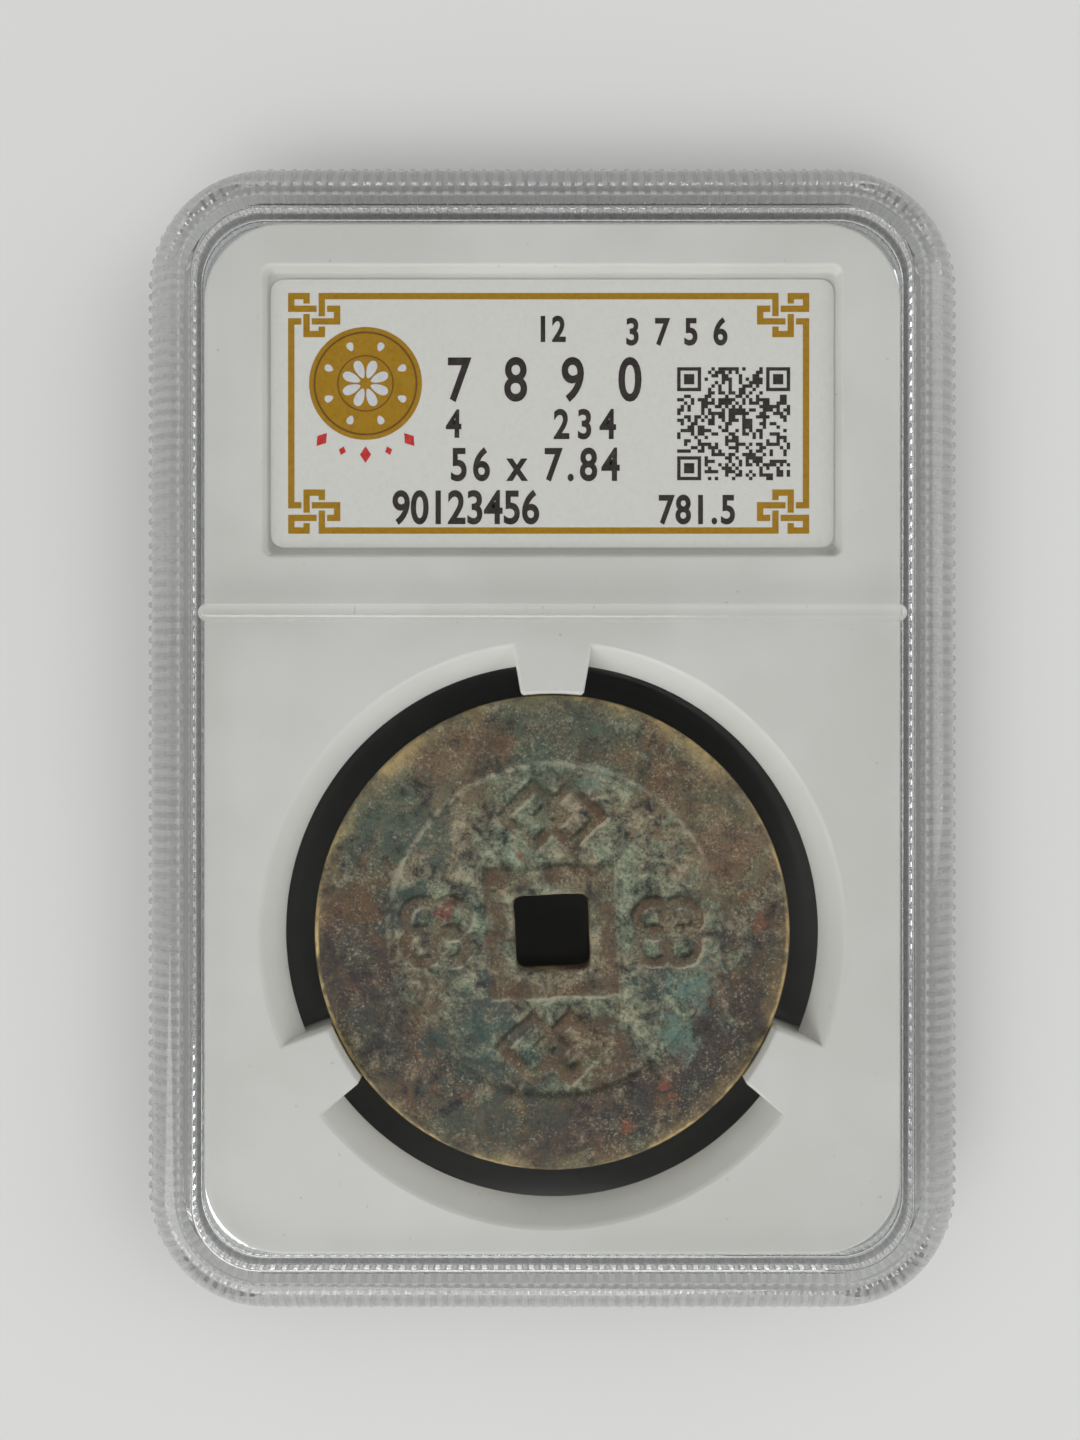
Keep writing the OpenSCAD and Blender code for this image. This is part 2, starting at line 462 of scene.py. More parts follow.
@dataclass(frozen=True)
class ClearFinish:
    """Clear moulded plastic, lightly scuffed, milky over the reeds, that lets lamp light through."""

    name: str
    window: tuple[float, float]
    window_at: float
    bar_y: float
    # painted shade on the coin's side of the bar; 1 means no bar
    bar_painted_shade: float
    window_r: float
    strip_share: float
    wall_share: float = 0.88
    window_share: float = 0.96
    deep_share: float = 0.24
    bar_share: float = 0.72
    bar_shade: tuple[float, float] = (-0.3, 0.15)
    strip_w: float = 2.6
    tint: Colour = (0.955, 0.965, 0.965, 1.0)
    # painted shade: near-black tint of the cavity's fillet and of the line round the window, standing in
    # for the dark surroundings that the clear rim refracts
    painted_shade_tint: Colour = (0.06, 0.06, 0.06, 1.0)
    # width, overlap and strength of the painted dark line round the window
    line_w: float = 0.36
    line_lap: float = 0.02
    line_share: float = 0.7
    level_gap: float = 0.01
    bend: float = 1.5
    calm: float = 0.75
    face_pass: float = 0.96
    mirrored: float = 0.9
    polish: float = 0.0
    scuffed: float = 0.016
    frost: float = 0.5
    frost_least: float = 0.3
    frost_tone: Colour = tone(216, 217, 216)
    faces_most: float = 1.5
    mirror_most: float = 2.5
    ray_most: float = 9.5

    @property
    def bar_above(self) -> float:
        """Height just over the window's outer face."""
        return self.window_at + self.level_gap

    @property
    def has_bar(self) -> bool:
        """Whether the window has the bar, as the front one does."""
        return self.bar_painted_shade < 1.0

    def body_colour(self, graph: Graph) -> Any:
        """Paints shade across the bar, darker on the coin's side and clear on the label's side, standing
        in for the light that the bar bends onto its label side.

        Args:
            graph: the material's graph.

        Returns:
            The socket of the colour.
        """
        split = graph.node("ShaderNodeSeparateXYZ", {0: graph.place})
        over = graph.math("GREATER_THAN", split.outputs["Z"], self.bar_above * MM)
        low, high = ((self.bar_y + offset) * MM for offset in self.bar_shade)
        share = graph.band(split.outputs["Y"], low, high)
        dark = (self.bar_painted_shade, self.bar_painted_shade, self.bar_painted_shade, 1.0)
        return graph.mix(over, self.tint, graph.mix(share, dark, (1.0, 1.0, 1.0, 1.0)))

    def lamp_colour(self, graph: Graph) -> Any:
        """Grades how much lamp light passes: one share in the wall, others in the window and its bar.

        What lies above the window's outer face has the bar's share, the rear window's inner face too.

        Args:
            graph: the material's graph.

        Returns:
            The socket of the colour.
        """
        split = graph.node("ShaderNodeSeparateXYZ", {0: graph.place})
        over = graph.math("GREATER_THAN", split.outputs["Z"], self.bar_above * MM)
        shares = (self.wall_share, self.window_share, self.deep_share, self.bar_share)
        wall, pane, deep, bar = ((share, share, share, 1.0) for share in shares)
        crossed = graph.node("ShaderNodeLightPath").outputs["Transparent Depth"]
        pane = graph.mix(graph.math("GREATER_THAN", crossed, self.faces_most), pane, deep)
        if self.strip_share < 1.0:
            strip = (self.strip_share, self.strip_share, self.strip_share, 1.0)
            pane = graph.mix(self.within(graph, self.strip_w), strip, pane)
        return graph.mix(self.within(graph, 0.0), wall, graph.mix(over, pane, bar))

    def within(self, graph: Graph, margin: float) -> Any:
        """Marks what lies inside the outline of the window.

        Args:
            graph: the material's graph.
            margin: how far inside, in millimetres.

        Returns:
            The socket of the share, 0 or 1.
        """
        split = graph.node("ShaderNodeSeparateXYZ", {0: graph.place})
        past = []
        for axis, width in zip("XY", self.window):
            away = graph.math("ABSOLUTE", split.outputs[axis])
            beyond = graph.math("SUBTRACT", away, (width / 2 - self.window_r) * MM)
            beyond = graph.math("MAXIMUM", beyond, 0.0)
            past.append(graph.math("MULTIPLY", beyond, beyond))
        reach = (self.window_r - margin) * MM
        return graph.math("LESS_THAN", graph.math("ADD", *past), reach * reach)

    def border(self, graph: Graph) -> Any:
        """Marks the painted dark line on the window's face, just inside the step round it: painted shade
        for the dark surroundings that a clear rim refracts.

        Args:
            graph: the material's graph.

        Returns:
            The socket of its share.
        """
        split = graph.node("ShaderNodeSeparateXYZ", {0: graph.place})
        level = graph.math("SUBTRACT", split.outputs["Z"], self.window_at * MM)
        flat = graph.math("LESS_THAN", graph.math("ABSOLUTE", level), self.level_gap / 2 * MM)
        outside, inside = self.within(graph, -self.line_lap), self.within(graph, self.line_w)
        line = graph.math("SUBTRACT", outside, inside)
        return graph.math("MULTIPLY", graph.math("MULTIPLY", flat, line), self.line_share)

    def calmed(self, graph: Graph, body: Any, colour: Any, normal: Any) -> Any:
        """Takes most of the glare off the faces of the window, and leaves what they let through.

        Args:
            graph: the material's graph.
            body: the socket of the plastic's shader.
            colour: the socket of the plastic's colour.
            normal: the socket of its normal.

        Returns:
            The socket of the shader.
        """
        root = graph.node("ShaderNodeGamma", {"Color": colour, "Gamma": 0.5}).outputs["Color"]
        passed = (self.face_pass, self.face_pass, self.face_pass)
        tint = graph.node("ShaderNodeVectorMath", {0: root, 1: passed}, operation="MULTIPLY").outputs[0]
        values = {"Color": tint, "Roughness": self.polish, "IOR": self.bend, "Normal": normal}
        pane = graph.node("ShaderNodeBsdfRefraction", values).outputs["BSDF"]
        split = graph.node("ShaderNodeSeparateXYZ", {0: graph.place})
        under = graph.math("LESS_THAN", split.outputs["Z"], self.bar_above * MM)
        fresnel = graph.node("ShaderNodeFresnel", {"IOR": self.bend}).outputs["Fac"]
        passes = graph.math("LESS_THAN", fresnel, self.mirrored)
        share = graph.math("MULTIPLY", graph.math("MULTIPLY", under, passes), self.calm)
        share = graph.math("MULTIPLY", share, self.within(graph, 0.0))
        return graph.node("ShaderNodeMixShader", {0: share, 1: body, 2: pane}).outputs[0]

    def plastic(self, graph: Graph) -> Any:
        """Builds the clear plastic itself, with its scuffs, its ripple, the painted dark line at the
        window and the painted shade on the cavity's fillet.

        Args:
            graph: the material's graph.

        Returns:
            The socket of the shader.
        """
        haze = graph.noise(9.0, detail=5.0, rough=0.6)
        hairline = graph.noise(0.5, detail=3.0, rough=0.7, warp=2.0)
        rough = graph.band(graph.math("MULTIPLY", haze, hairline), 0.2, 0.42, self.polish, self.scuffed)
        ripple = graph.bump(graph.noise(3.0, detail=2.0), depth=0.002, strength=0.4)
        # the front window's bar takes its painted shade
        pane = self.body_colour(graph) if self.has_bar else self.tint
        # painted shade: the cavity's fillet and the line round the window take the near-black tint
        dim = graph.math("MAXIMUM", graph.attribute("dim"), self.border(graph))
        colour = graph.mix(dim, pane, self.painted_shade_tint)
        values = {"Base Color": colour, "Roughness": rough, "IOR": self.bend, "Normal": ripple}
        values["Transmission Weight"] = 1.0
        body = graph.node("ShaderNodeBsdfPrincipled", values).outputs["BSDF"]
        return self.calmed(graph, body, colour, ripple) if self.has_bar else body

    def frosted(self, graph: Graph, body: Any) -> Any:
        """Lays the milky skin of the reeds over the plastic, strongest on their tips; the stripes of
        milkiness are partly painted light, standing in for the light and dark stripes that the reeds
        refract.

        Args:
            graph: the material's graph.
            body: the socket of the plastic's shader.

        Returns:
            The socket of the shader.
        """
        milk = graph.node("ShaderNodeBsdfTranslucent", {"Color": self.frost_tone}).outputs["BSDF"]
        cover = graph.node("ShaderNodeBsdfDiffuse", {"Color": self.frost_tone}).outputs["BSDF"]
        skin = graph.node("ShaderNodeMixShader", {0: 0.5, 1: milk, 2: cover}).outputs[0]
        wave = graph.math("COSINE", graph.math("MULTIPLY", graph.attribute("lap"), 2 * math.pi))
        # stripes of milkiness along the reeds: partly painted light for the stripes that the reeds
        # refract
        stripe = graph.band(wave, 0.7, -0.7, self.frost_least * self.frost, self.frost)
        share = graph.math("MULTIPLY", graph.attribute("reed"), stripe)
        return graph.node("ShaderNodeMixShader", {0: share, 1: body, 2: skin}).outputs[0]

    def make(self) -> bpy.types.Material:
        """Builds the material.

        Returns:
            The material.
        """
        graph = Graph(self.name)
        body = self.frosted(graph, self.plastic(graph))
        lamp_way = {"Color": self.lamp_colour(graph)}
        open_way = graph.node("ShaderNodeBsdfTransparent", lamp_way).outputs["BSDF"]
        path = graph.node("ShaderNodeLightPath")
        either = graph.math("MAXIMUM", path.outputs["Is Shadow Ray"], path.outputs["Is Diffuse Ray"])
        for depth, most in (("Glossy Depth", self.mirror_most), ("Ray Depth", self.ray_most)):
            beyond = graph.math("GREATER_THAN", path.outputs[depth], most)
            either = graph.math("MAXIMUM", either, beyond)
        mixed = graph.node("ShaderNodeMixShader", {0: either, 1: body, 2: open_way})
        return graph.close(mixed.outputs[0])


@dataclass(frozen=True)
class InsertFinish:
    """Satin white moulded plastic with a fine grain and a few specks."""

    name: str = "insert_white"
    light: Colour = tone(221, 221, 216)
    dull: Colour = tone(213, 213, 207)
    speck: Colour = tone(150, 145, 135)
    speck_share: float = 0.4
    rough: tuple[float, float] = (0.38, 0.5)
    shine: float = 0.4
    grain_depth: float = 0.004

    def make(self) -> bpy.types.Material:
        """Builds the material.

        Returns:
            The material.
        """
        graph = Graph(self.name)
        cloud = graph.band(graph.noise(14.0, detail=3.0), 0.35, 0.65)
        white = graph.mix(cloud, self.light, self.dull)
        rare = graph.band(graph.noise(0.4, detail=1.0), 0.76, 0.8)
        colour = graph.mix(graph.math("MULTIPLY", rare, self.speck_share), white, self.speck)
        rough = graph.band(graph.noise(2.0), 0.3, 0.7, *self.rough)
        grain = graph.bump(graph.noise(0.22, detail=3.0), self.grain_depth, strength=0.5)
        body = {"Base Color": colour, "Roughness": rough, "Normal": grain}
        body["Specular IOR Level"] = self.shine
        return graph.close(graph.node("ShaderNodeBsdfPrincipled", body).outputs["BSDF"])


@dataclass(frozen=True)
class CardFinish:
    """Smooth white card with faint fibres."""

    name: str = "label_card"
    light: Colour = tone(226, 225, 219)
    shade: Colour = tone(219, 218, 212)
    rough: float = 0.62
    shine: float = 0.35
    fibre_depth: float = 0.004

    def make(self) -> bpy.types.Material:
        """Builds the material.

        Returns:
            The material.
        """
        graph = Graph(self.name)
        fibre = graph.noise(0.35, detail=5.0, rough=0.65, warp=1.5)
        colour = graph.mix(graph.band(fibre, 0.35, 0.7), self.light, self.shade)
        tooth = graph.bump(fibre, self.fibre_depth, strength=0.6)
        body = {"Base Color": colour, "Roughness": self.rough, "Normal": tooth}
        body["Specular IOR Level"] = self.shine
        return graph.close(graph.node("ShaderNodeBsdfPrincipled", body).outputs["BSDF"])


@dataclass(frozen=True)
class PrintFinish:
    """Printing ink on the card, a little uneven."""

    name: str
    ink: Colour
    thin: Colour
    rough: tuple[float, float] = (0.42, 0.6)

    def make(self) -> bpy.types.Material:
        """Builds the material.

        Returns:
            The material.
        """
        graph = Graph(self.name)
        uneven = graph.band(graph.noise(0.3, rough=0.7), 0.4, 0.75)
        colour = graph.mix(uneven, self.ink, self.thin)
        rough = graph.band(graph.noise(0.8, detail=3.0), 0.3, 0.7, *self.rough)
        body = {"Base Color": colour, "Roughness": rough}
        return graph.close(graph.node("ShaderNodeBsdfPrincipled", body).outputs["BSDF"])


@dataclass(frozen=True)
class Patch:
    """A ragged patch of another colour on the coin, placed from the coin's middle."""

    x: float
    y: float
    radius: float
    colour: Colour
    share: float


@dataclass(frozen=True)
class PatinaFinish:
    """Old cast bronze: brown metal under grey-green and turquoise patina, with worn bright edges."""

    middle: Point
    name: str = "coin_patina"
    rim_tones: tuple[Colour, ...] = (
        tone(24, 22, 20),
        tone(60, 54, 46),
        tone(90, 84, 69),
        tone(134, 127, 106),
    )
    field_tones: tuple[Colour, ...] = (
        tone(40, 41, 35),
        tone(98, 99, 82),
        tone(131, 133, 110),
        tone(168, 168, 141),
    )
    tone_stops: tuple[float, ...] = (0.41, 0.47, 0.53, 0.595)
    brown: Colour = tone(104, 81, 53)
    green: Colour = tone(90, 98, 80)
    dark: Colour = tone(58, 51, 48)
    teal: Colour = tone(52, 72, 68)
    turquoise: Colour = tone(116, 142, 129)
    stroke: Colour = tone(90, 66, 42)
    red: Colour = tone(128, 50, 42)
    rust: Colour = tone(136, 80, 54)
    brass: Colour = tone(206, 180, 124)
    # pale: the light dust, and the painted highlight on the relief's edges
    pale: Colour = tone(176, 168, 146)
    # near-black: the dark dust, and the painted shade on the relief's edges
    soot_and_shade: Colour = tone(26, 23, 21)
    tan: Colour = tone(132, 118, 92)
    warm: Colour = (1.17, 0.97, 0.93, 1.0)
    cool: Colour = (0.86, 1.03, 1.03, 1.0)
    fleck_most: float = 1.0
    crust_depth: float = 0.12
    grit_depth: float = 0.06
    pit_depth: float = 0.025
    bump_share: float = 0.9

    @property
    def patches(self) -> tuple[Patch, ...]:
        """The broad patches first, then the flecks."""
        return (
            Patch(-12.0, 9.0, 5.0, self.green, 0.7),
            Patch(0.5, 15.4, 4.6, self.green, 0.7),
            Patch(-5.0, -14.8, 4.4, self.green, 0.5),
            Patch(12.5, -10.5, 6.4, self.dark, 0.85),
            Patch(-15.0, -4.0, 5.0, self.dark, 0.55),
            Patch(-6.5, 13.2, 3.0, self.brown, 0.5),
            Patch(8.6, 11.8, 3.4, self.brown, 0.6),
            Patch(13.6, 4.6, 3.4, self.brown, 0.55),
            Patch(-9.0, -6.0, 2.6, self.brown, 0.6),
            Patch(13.8, 8.8, 5.0, self.tan, 0.4),
            Patch(-9.5, 12.8, 3.6, self.tan, 0.3),
            Patch(1.5, -15.6, 5.0, self.dark, 0.5),
            # slope and offset of the painted highlight and painted shade along the relief's edges
            Patch(15.8, -2.5, 3.6, self.dark, 0.45),
            Patch(3.0, -9.5, 2.6, self.brown, 0.5),
            Patch(-5.6, -7.8, 3.4, self.teal, 0.8),
            Patch(-11.0, 1.8, 1.9, self.teal, 0.7),
            Patch(-9.8, 6.6, 2.0, self.teal, 0.5),
            Patch(8.8, -3.0, 2.0, self.teal, 0.6),
            Patch(11.2, -4.2, 1.5, self.turquoise, 0.7),
            Patch(9.2, -7.6, 1.4, self.turquoise, 0.65),
            Patch(3.2, 11.4, 1.2, self.turquoise, 0.4),
            Patch(-7.8, 1.9, 0.75, self.red, 0.8),
            Patch(-5.1, -0.7, 0.5, self.red, 0.6),
            Patch(-2.6, 5.3, 0.5, self.rust, 0.7),
            Patch(8.5, -11.3, 0.5, self.rust, 0.8),
            Patch(9.0, -12.5, 0.4, self.rust, 0.7),
            Patch(5.8, -14.8, 0.4, self.rust, 0.8),
            Patch(15.7, 0.7, 0.5, self.rust, 0.5),
        )

    def patch(self, graph: Graph, spot: Patch, ragged: Any, broken: Any) -> Any:
        """Marks where one patch shows.

        Args:
            graph: the material's graph.
            spot: the patch.
            ragged: noise about 0.5 that frays its edge.
            broken: share from 0 to 1 that breaks up its inside.

        Returns:
            The socket of its share.
        """
        at = Vector(self.middle) * MM + Vector((spot.x, spot.y, 0.0)) * MM
        inputs = {0: graph.place, 1: at}
        away = graph.node("ShaderNodeVectorMath", inputs, operation="DISTANCE").outputs["Value"]
        share = graph.math("MULTIPLY", away, 0.25 / (spot.radius * MM))
        whole = graph.band(graph.math("ADD", share, ragged), 0.82, 0.66, 0.0, spot.share)
        return graph.math("MULTIPLY", whole, broken)

    def ground(self, graph: Graph, mottle: Any) -> Any:
        """Colours the rims and the field.

        Args:
            graph: the material's graph.
            mottle: the noise that the tones follow.

        Returns:
            The socket of the colour.
        """
        rim = graph.ramp(mottle, tuple(zip(self.tone_stops, self.rim_tones)))
        cloud = graph.noise(4.0, detail=8.0, rough=0.7, warp=0.6)
        rim = graph.mix(graph.band(cloud, 0.5, 0.62, 0.0, 0.7), rim, self.brown)
        sunk = graph.ramp(mottle, tuple(zip(self.tone_stops, self.field_tones)))
        return graph.mix(graph.math("MULTIPLY", graph.attribute("field"), 0.92), rim, sunk)

    def patched(self, graph: Graph, colour: Any, fine: Any) -> Any:
        """Lays the patches, a drift of warm and cool, the bare strokes and the flecks over a colour.

        Args:
            graph: the material's graph.
            colour: the socket of the colour.
            fine: the fine noise that frays the strokes.

        Returns:
            The socket of the new colour.
        """
        frayed = graph.noise(2.2, detail=9.0, rough=0.68, warp=0.7)
        ragged = graph.math("SUBTRACT", graph.math("MULTIPLY", frayed, 1.7), 0.35)
        broken = graph.band(graph.noise(1.0, detail=7.0, rough=0.75, warp=0.4), 0.4, 0.54, 0.3, 1.0)
        broad = [spot for spot in self.patches if spot.radius > self.fleck_most]
        flecks = [spot for spot in self.patches if spot.radius <= self.fleck_most]
        for spot in broad:
            colour = graph.mix(self.patch(graph, spot, ragged, broken), colour, spot.colour)
        drift = graph.band(graph.noise(4.6, detail=9.0, rough=0.7, warp=0.8), 0.38, 0.62)
        tint = graph.mix(drift, self.cool, self.warm)
        tinted = graph.node("ShaderNodeVectorMath", {0: colour, 1: tint}, operation="MULTIPLY")
        cover = graph.band(graph.noise(2.2, detail=7.0, rough=0.7, warp=0.5), 0.4, 0.52, 0.4, 1.0)
        bare = graph.math("MULTIPLY", graph.attribute("stroke"), cover)
        bare = graph.math("MULTIPLY", bare, graph.band(fine, 0.36, 0.5, 0.6, 1.0))
        colour = graph.mix(bare, tinted.outputs[0], self.stroke)
        for spot in flecks:
            colour = graph.mix(self.patch(graph, spot, ragged, broken), colour, spot.colour)
        return colour

    def dusted(self, graph: Graph, colour: Any, dust: Any) -> Any:
        """Scatters pale dust in clumps and dark dust all over.

        Args:
            graph: the material's graph.
            colour: the socket of the colour.
            dust: the noise of the dust.

        Returns:
            The socket of the new colour.
        """
        clumps = graph.band(graph.noise(1.6, detail=5.0, rough=0.65), 0.44, 0.62, 0.1, 1.0)
        light_dust = graph.math("MULTIPLY", graph.band(dust, 0.54, 0.7, 0.0, 0.6), clumps)
        colour = graph.mix(light_dust, colour, self.pale)
        return graph.mix(graph.band(dust, 0.45, 0.3, 0.0, 0.6), colour, self.soot_and_shade)

    def edged(self, graph: Graph, colour: Any, medium: Any) -> Any:
        """Darkens the shaded edges of the relief with painted shade and lightens the lit ones with
        painted highlight.

        Args:
            graph: the material's graph.
            colour: the socket of the colour.
            medium: the noise that breaks up the lit edges.

        Returns:
            The socket of the new colour.
        """
        edge = graph.attribute("edge")
        # painted shade in near-black on the shaded edges, painted highlight in the pale colour on the
        # lit ones
        shade = graph.math("MAXIMUM", graph.math("MULTIPLY", edge, -0.6), 0.0)
        colour = graph.mix(shade, colour, self.soot_and_shade)
        lit = graph.math("MULTIPLY", edge, graph.band(medium, 0.4, 0.56, 0.1, 1.0))
        painted_highlight = graph.math("MAXIMUM", graph.math("MULTIPLY", lit, 0.75), 0.0)
        return graph.mix(painted_highlight, colour, self.pale)

    def worn(self, graph: Graph, mottle: Any) -> Any:
        """Marks where wear has laid the metal bare.

        Args:
            graph: the material's graph.
            mottle: the noise that breaks it up.

        Returns:
            The socket of its share.
        """
        uneven = graph.band(graph.noise(2.6, rough=0.6), 0.4, 0.58, 0.3, 1.25)
        broken = graph.band(mottle, 0.36, 0.52, 0.25, 1.0)
        bright = graph.math("MULTIPLY", graph.attribute("wear"), broken)
        return graph.math("MINIMUM", graph.math("MULTIPLY", bright, uneven), 1.0)

    def make(self) -> bpy.types.Material:
        """Builds the material.

        Returns:
            The material.
        """
        graph = Graph(self.name)
        medium = graph.noise(1.6, detail=8.0, rough=0.7, warp=0.5)
        fine = graph.noise(0.42, detail=6.0, rough=0.75)
        dust = graph.noise(0.2, detail=2.0, rough=0.7)
        broad_part = graph.math("MULTIPLY", medium, 0.7)
        fine_part = graph.math("MULTIPLY", fine, 0.3)
        mottle = graph.math("ADD", broad_part, fine_part)
        colour = self.patched(graph, self.ground(graph, mottle), fine)
        colour = self.edged(graph, self.dusted(graph, colour, dust), medium)
        bright = self.worn(graph, mottle)
        dull = graph.band(medium, 0.3, 0.7, 0.55, 0.8)
        crust = graph.bump(medium, self.crust_depth, self.bump_share)
        grit = graph.bump(fine, self.grit_depth, self.bump_share, crust)
        body = {
            "Base Color": graph.mix(bright, colour, self.brass),
            "Roughness": graph.math("SUBTRACT", dull, graph.math("MULTIPLY", bright, 0.25)),
            "Metallic": graph.math("MULTIPLY", bright, 0.5),
            "Normal": graph.bump(dust, self.pit_depth, self.bump_share, grit),
        }
        return graph.close(graph.node("ShaderNodeBsdfPrincipled", body).outputs["BSDF"])


@dataclass(frozen=True)
class FloorFinish:
    """Pale matt studio floor."""

    name: str = "studio_floor"
    light: Colour = tone(226, 226, 224)
    shade: Colour = tone(221, 221, 219)
    rough: float = 0.8
    shine: float = 0.2

    def make(self) -> bpy.types.Material:
        """Builds the material.

        Returns:
            The material.
        """
        graph = Graph(self.name)
        colour = graph.mix(graph.noise(60.0, detail=2.0), self.light, self.shade)
        body = {"Base Color": colour, "Roughness": self.rough, "Specular IOR Level": self.shine}
        return graph.close(graph.node("ShaderNodeBsdfPrincipled", body).outputs["BSDF"])


def dress(piece: bpy.types.Object, material: bpy.types.Material, body: str, slot: str) -> None:
    """Gives a piece its material and its body.

    Args:
        piece: the object.
        material: its material.
        body: the body that it moves with.
        slot: name of a material slot; not used.
    """
    piece.data.materials.clear()
    piece.data.materials.append(material)
    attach(piece, body)
    LOG.info("%s: %d faces on %s", piece.name, len(piece.data.polygons), body)


class Half(Enum):
    """The two halves of the case, by the way each faces."""

    REAR = -1
    FRONT = 1


@dataclass
class ClearShell:
    """One clear half of the case: reeded wall, rounded shoulder, raised rim, sunk window."""

    half: Half
    node: str
    body: str
    slot: str
    corner_r: float = 8.8
    shoulder_r: float = 2.8
    rim_w: float = 3.8
    wall_t: float = 3.9
    window_sink: float = 0.8
    window_t: float = 1.2
    reed_pitch: float = 0.9
    reed_h: float = 0.4
    reed_land: float = 0.06
    reed_root_w: float = 0.56
    reed_tip_w: float = 0.36
    reed_round: float = 0.07
    tongue_w: float = 0.9
    tongue_h: float = 1.0
    tongue_inset: float = 1.5
    tongue_clear: float = 0.1
    seam: float = 0.012
    rim_round: float = 0.2
    window_round: float = 0.06
    cavity_round: float = 0.25
    # milkiness and width of the painted highlight along the top of the shoulder
    shoulder_highlight: float = 2.2
    shoulder_highlight_w: float = 0.14
    milky_to: float = 0.74
    # how far down the cavity wall the fillet's painted shade fades out
    painted_shade_reach: float = 1.4
    hair: float = 1e-4
    shoulder_steps: int = 14
    round_steps: int = 4
    bar_w: float = 1.3
    bar_y: float = 9.3
    bar_end_gap: float = 0.15
    bar_steps: int = 9
    bar_end_steps: int = 10
    # painted shade on the coin's side of the bar
    bar_painted_shade: float = 0.86
    strip_share: float = 0.25
    soup: Soup = field(default_factory=Soup)

    def __post_init__(self) -> None:
        """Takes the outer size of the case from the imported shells."""
        low = np.minimum(box_mm("rear_shell")[0], box_mm("front_shell")[0])
        high = np.maximum(box_mm("rear_shell")[1], box_mm("front_shell")[1])
        self.case_w, self.case_l, self.case_t = (high - low).tolist()
        self.half_t = self.case_t / 2
        self.wall = Outline(self.case_w - 2 * self.reed_h, self.case_l - 2 * self.reed_h, self.corner_r)
        self.reed_count = 4 * round(self.wall.perimeter / self.reed_pitch / 4)
        self.reed_step = self.wall.perimeter / self.reed_count
        self.reed_top = self.half_t - self.shoulder_r
        self.reed_values: list[tuple[list[int], float, list[float]]] = []
        self.roots = (-self.reed_root_w / 2, self.reed_root_w / 2)
        self.feet, self.out = self.wall.walk(self.along(self.roots))

    def along(self, offsets: Sequence[float]) -> list[float]:
        """Lists the lengths along the wall that lie at the same offsets from each reed's middle."""
        middles = [(k + 0.5) * self.reed_step for k in range(self.reed_count)]
        return [middle + offset for middle in middles for offset in offsets]

    def milky(self, row: list[int], share: float, offsets: Sequence[float]) -> None:
        """Notes how milky a row is, and how many reeds lie before each of its points.

        Args:
            row: the numbers of its points.
            share: how milky it is.
            offsets: where its points lie from each reed's middle.
        """
        self.reed_values.append((row, share, [at / self.reed_step for at in self.along(offsets)]))

    def height(self, above: float) -> float:
        """Turns a height above the parting plane, towards this half's window, into a place on Z."""
        return self.half_t + self.half.value * above

    def loop(self, inset: float, above: float) -> list[int]:
        """Adds a row that follows the wall at an inset and a height above the parting plane."""
        return self.soup.ring(self.feet - inset * self.out, self.height(above))

    def round_edge(
        self, inset: float, above: float, radius: float, start: float, steps: int
    ) -> list[list[int]]:
        """Adds the rows of a quarter-round in the section.

        Args:
            inset: inset of its centre.
            above: height of its centre above the parting plane.
            radius: its radius.
            start: angle in degrees of its first row, from the inward direction towards the window.
            steps: number of steps; its sign gives the way round.

        Returns:
            The rows.
        """
        rows = []
        for k in range(abs(steps) + 1):
            angle = math.radians(start + 90 * k / steps)
            rows.append(self.loop(inset + radius * math.cos(angle), above + radius * math.sin(angle)))
        return rows

    def reeds(self, low: list[int], top: list[int]) -> None:
        """Adds the reeded wall between the row at the seam and the row at the foot of the shoulder.

        Args:
            low: the smooth row at the seam.
            top: the smooth row at the top of the reeds.
        """
        root, tip, ease_w = self.reed_root_w / 2, self.reed_tip_w / 2, self.reed_round
        section = (
            (-root, self.reed_land),
            (-tip - ease_w / 3, self.reed_h - ease_w),
            (-tip + ease_w, self.reed_h),
            (tip - ease_w, self.reed_h),
            (tip + ease_w / 3, self.reed_h - ease_w),
            (root, self.reed_land),
        )
        points, normals = self.wall.walk(self.along([offset for offset, _ in section]))
        stand = np.tile([out for _, out in section], self.reed_count)[:, None]
        plan = points + stand * normals
        size = len(section)
        rows = {}
        for key, above, smooth in (("low", self.seam, low), ("top", self.reed_top, top)):
            row = self.soup.ring(plan, self.height(above))
            rows[key] = row
            self.milky(row, 1.0, [offset for offset, _ in section])
            for k in range(self.reed_count):
                self.soup.face(row[k * size:(k + 1) * size], flat=True)
            land = [row[k * size + end] for k in range(self.reed_count) for end in (0, size - 1)]
            self.soup.bridge(smooth, land, flat=True)
        self.soup.bridge(rows["low"], rows["top"])

    def crossbar(self) -> list[int]:
        """Adds the half-round bar that stands on the front window.

        Returns:
            The row of its foot on the window.
        """
        radius = self.bar_w / 2
        length = self.wall.width - 2 * self.rim_w - 2 * self.bar_end_gap
        window = self.half_t - self.window_sink
        rows = []
        for angle in quarter(self.bar_steps)[:-1]:
            shrink = radius * (1 - math.cos(angle))
            left = radius - shrink
            foot = Outline(length - 2 * shrink, 2 * left, left - self.hair, (0.0, self.bar_y))
            level = self.height(window + radius * math.sin(angle))
            rows.append(self.soup.ring(foot.inset(0.0, self.bar_end_steps), level))
        self.soup.stack(rows)
        self.soup.face(rows[-1])
        return rows[0]

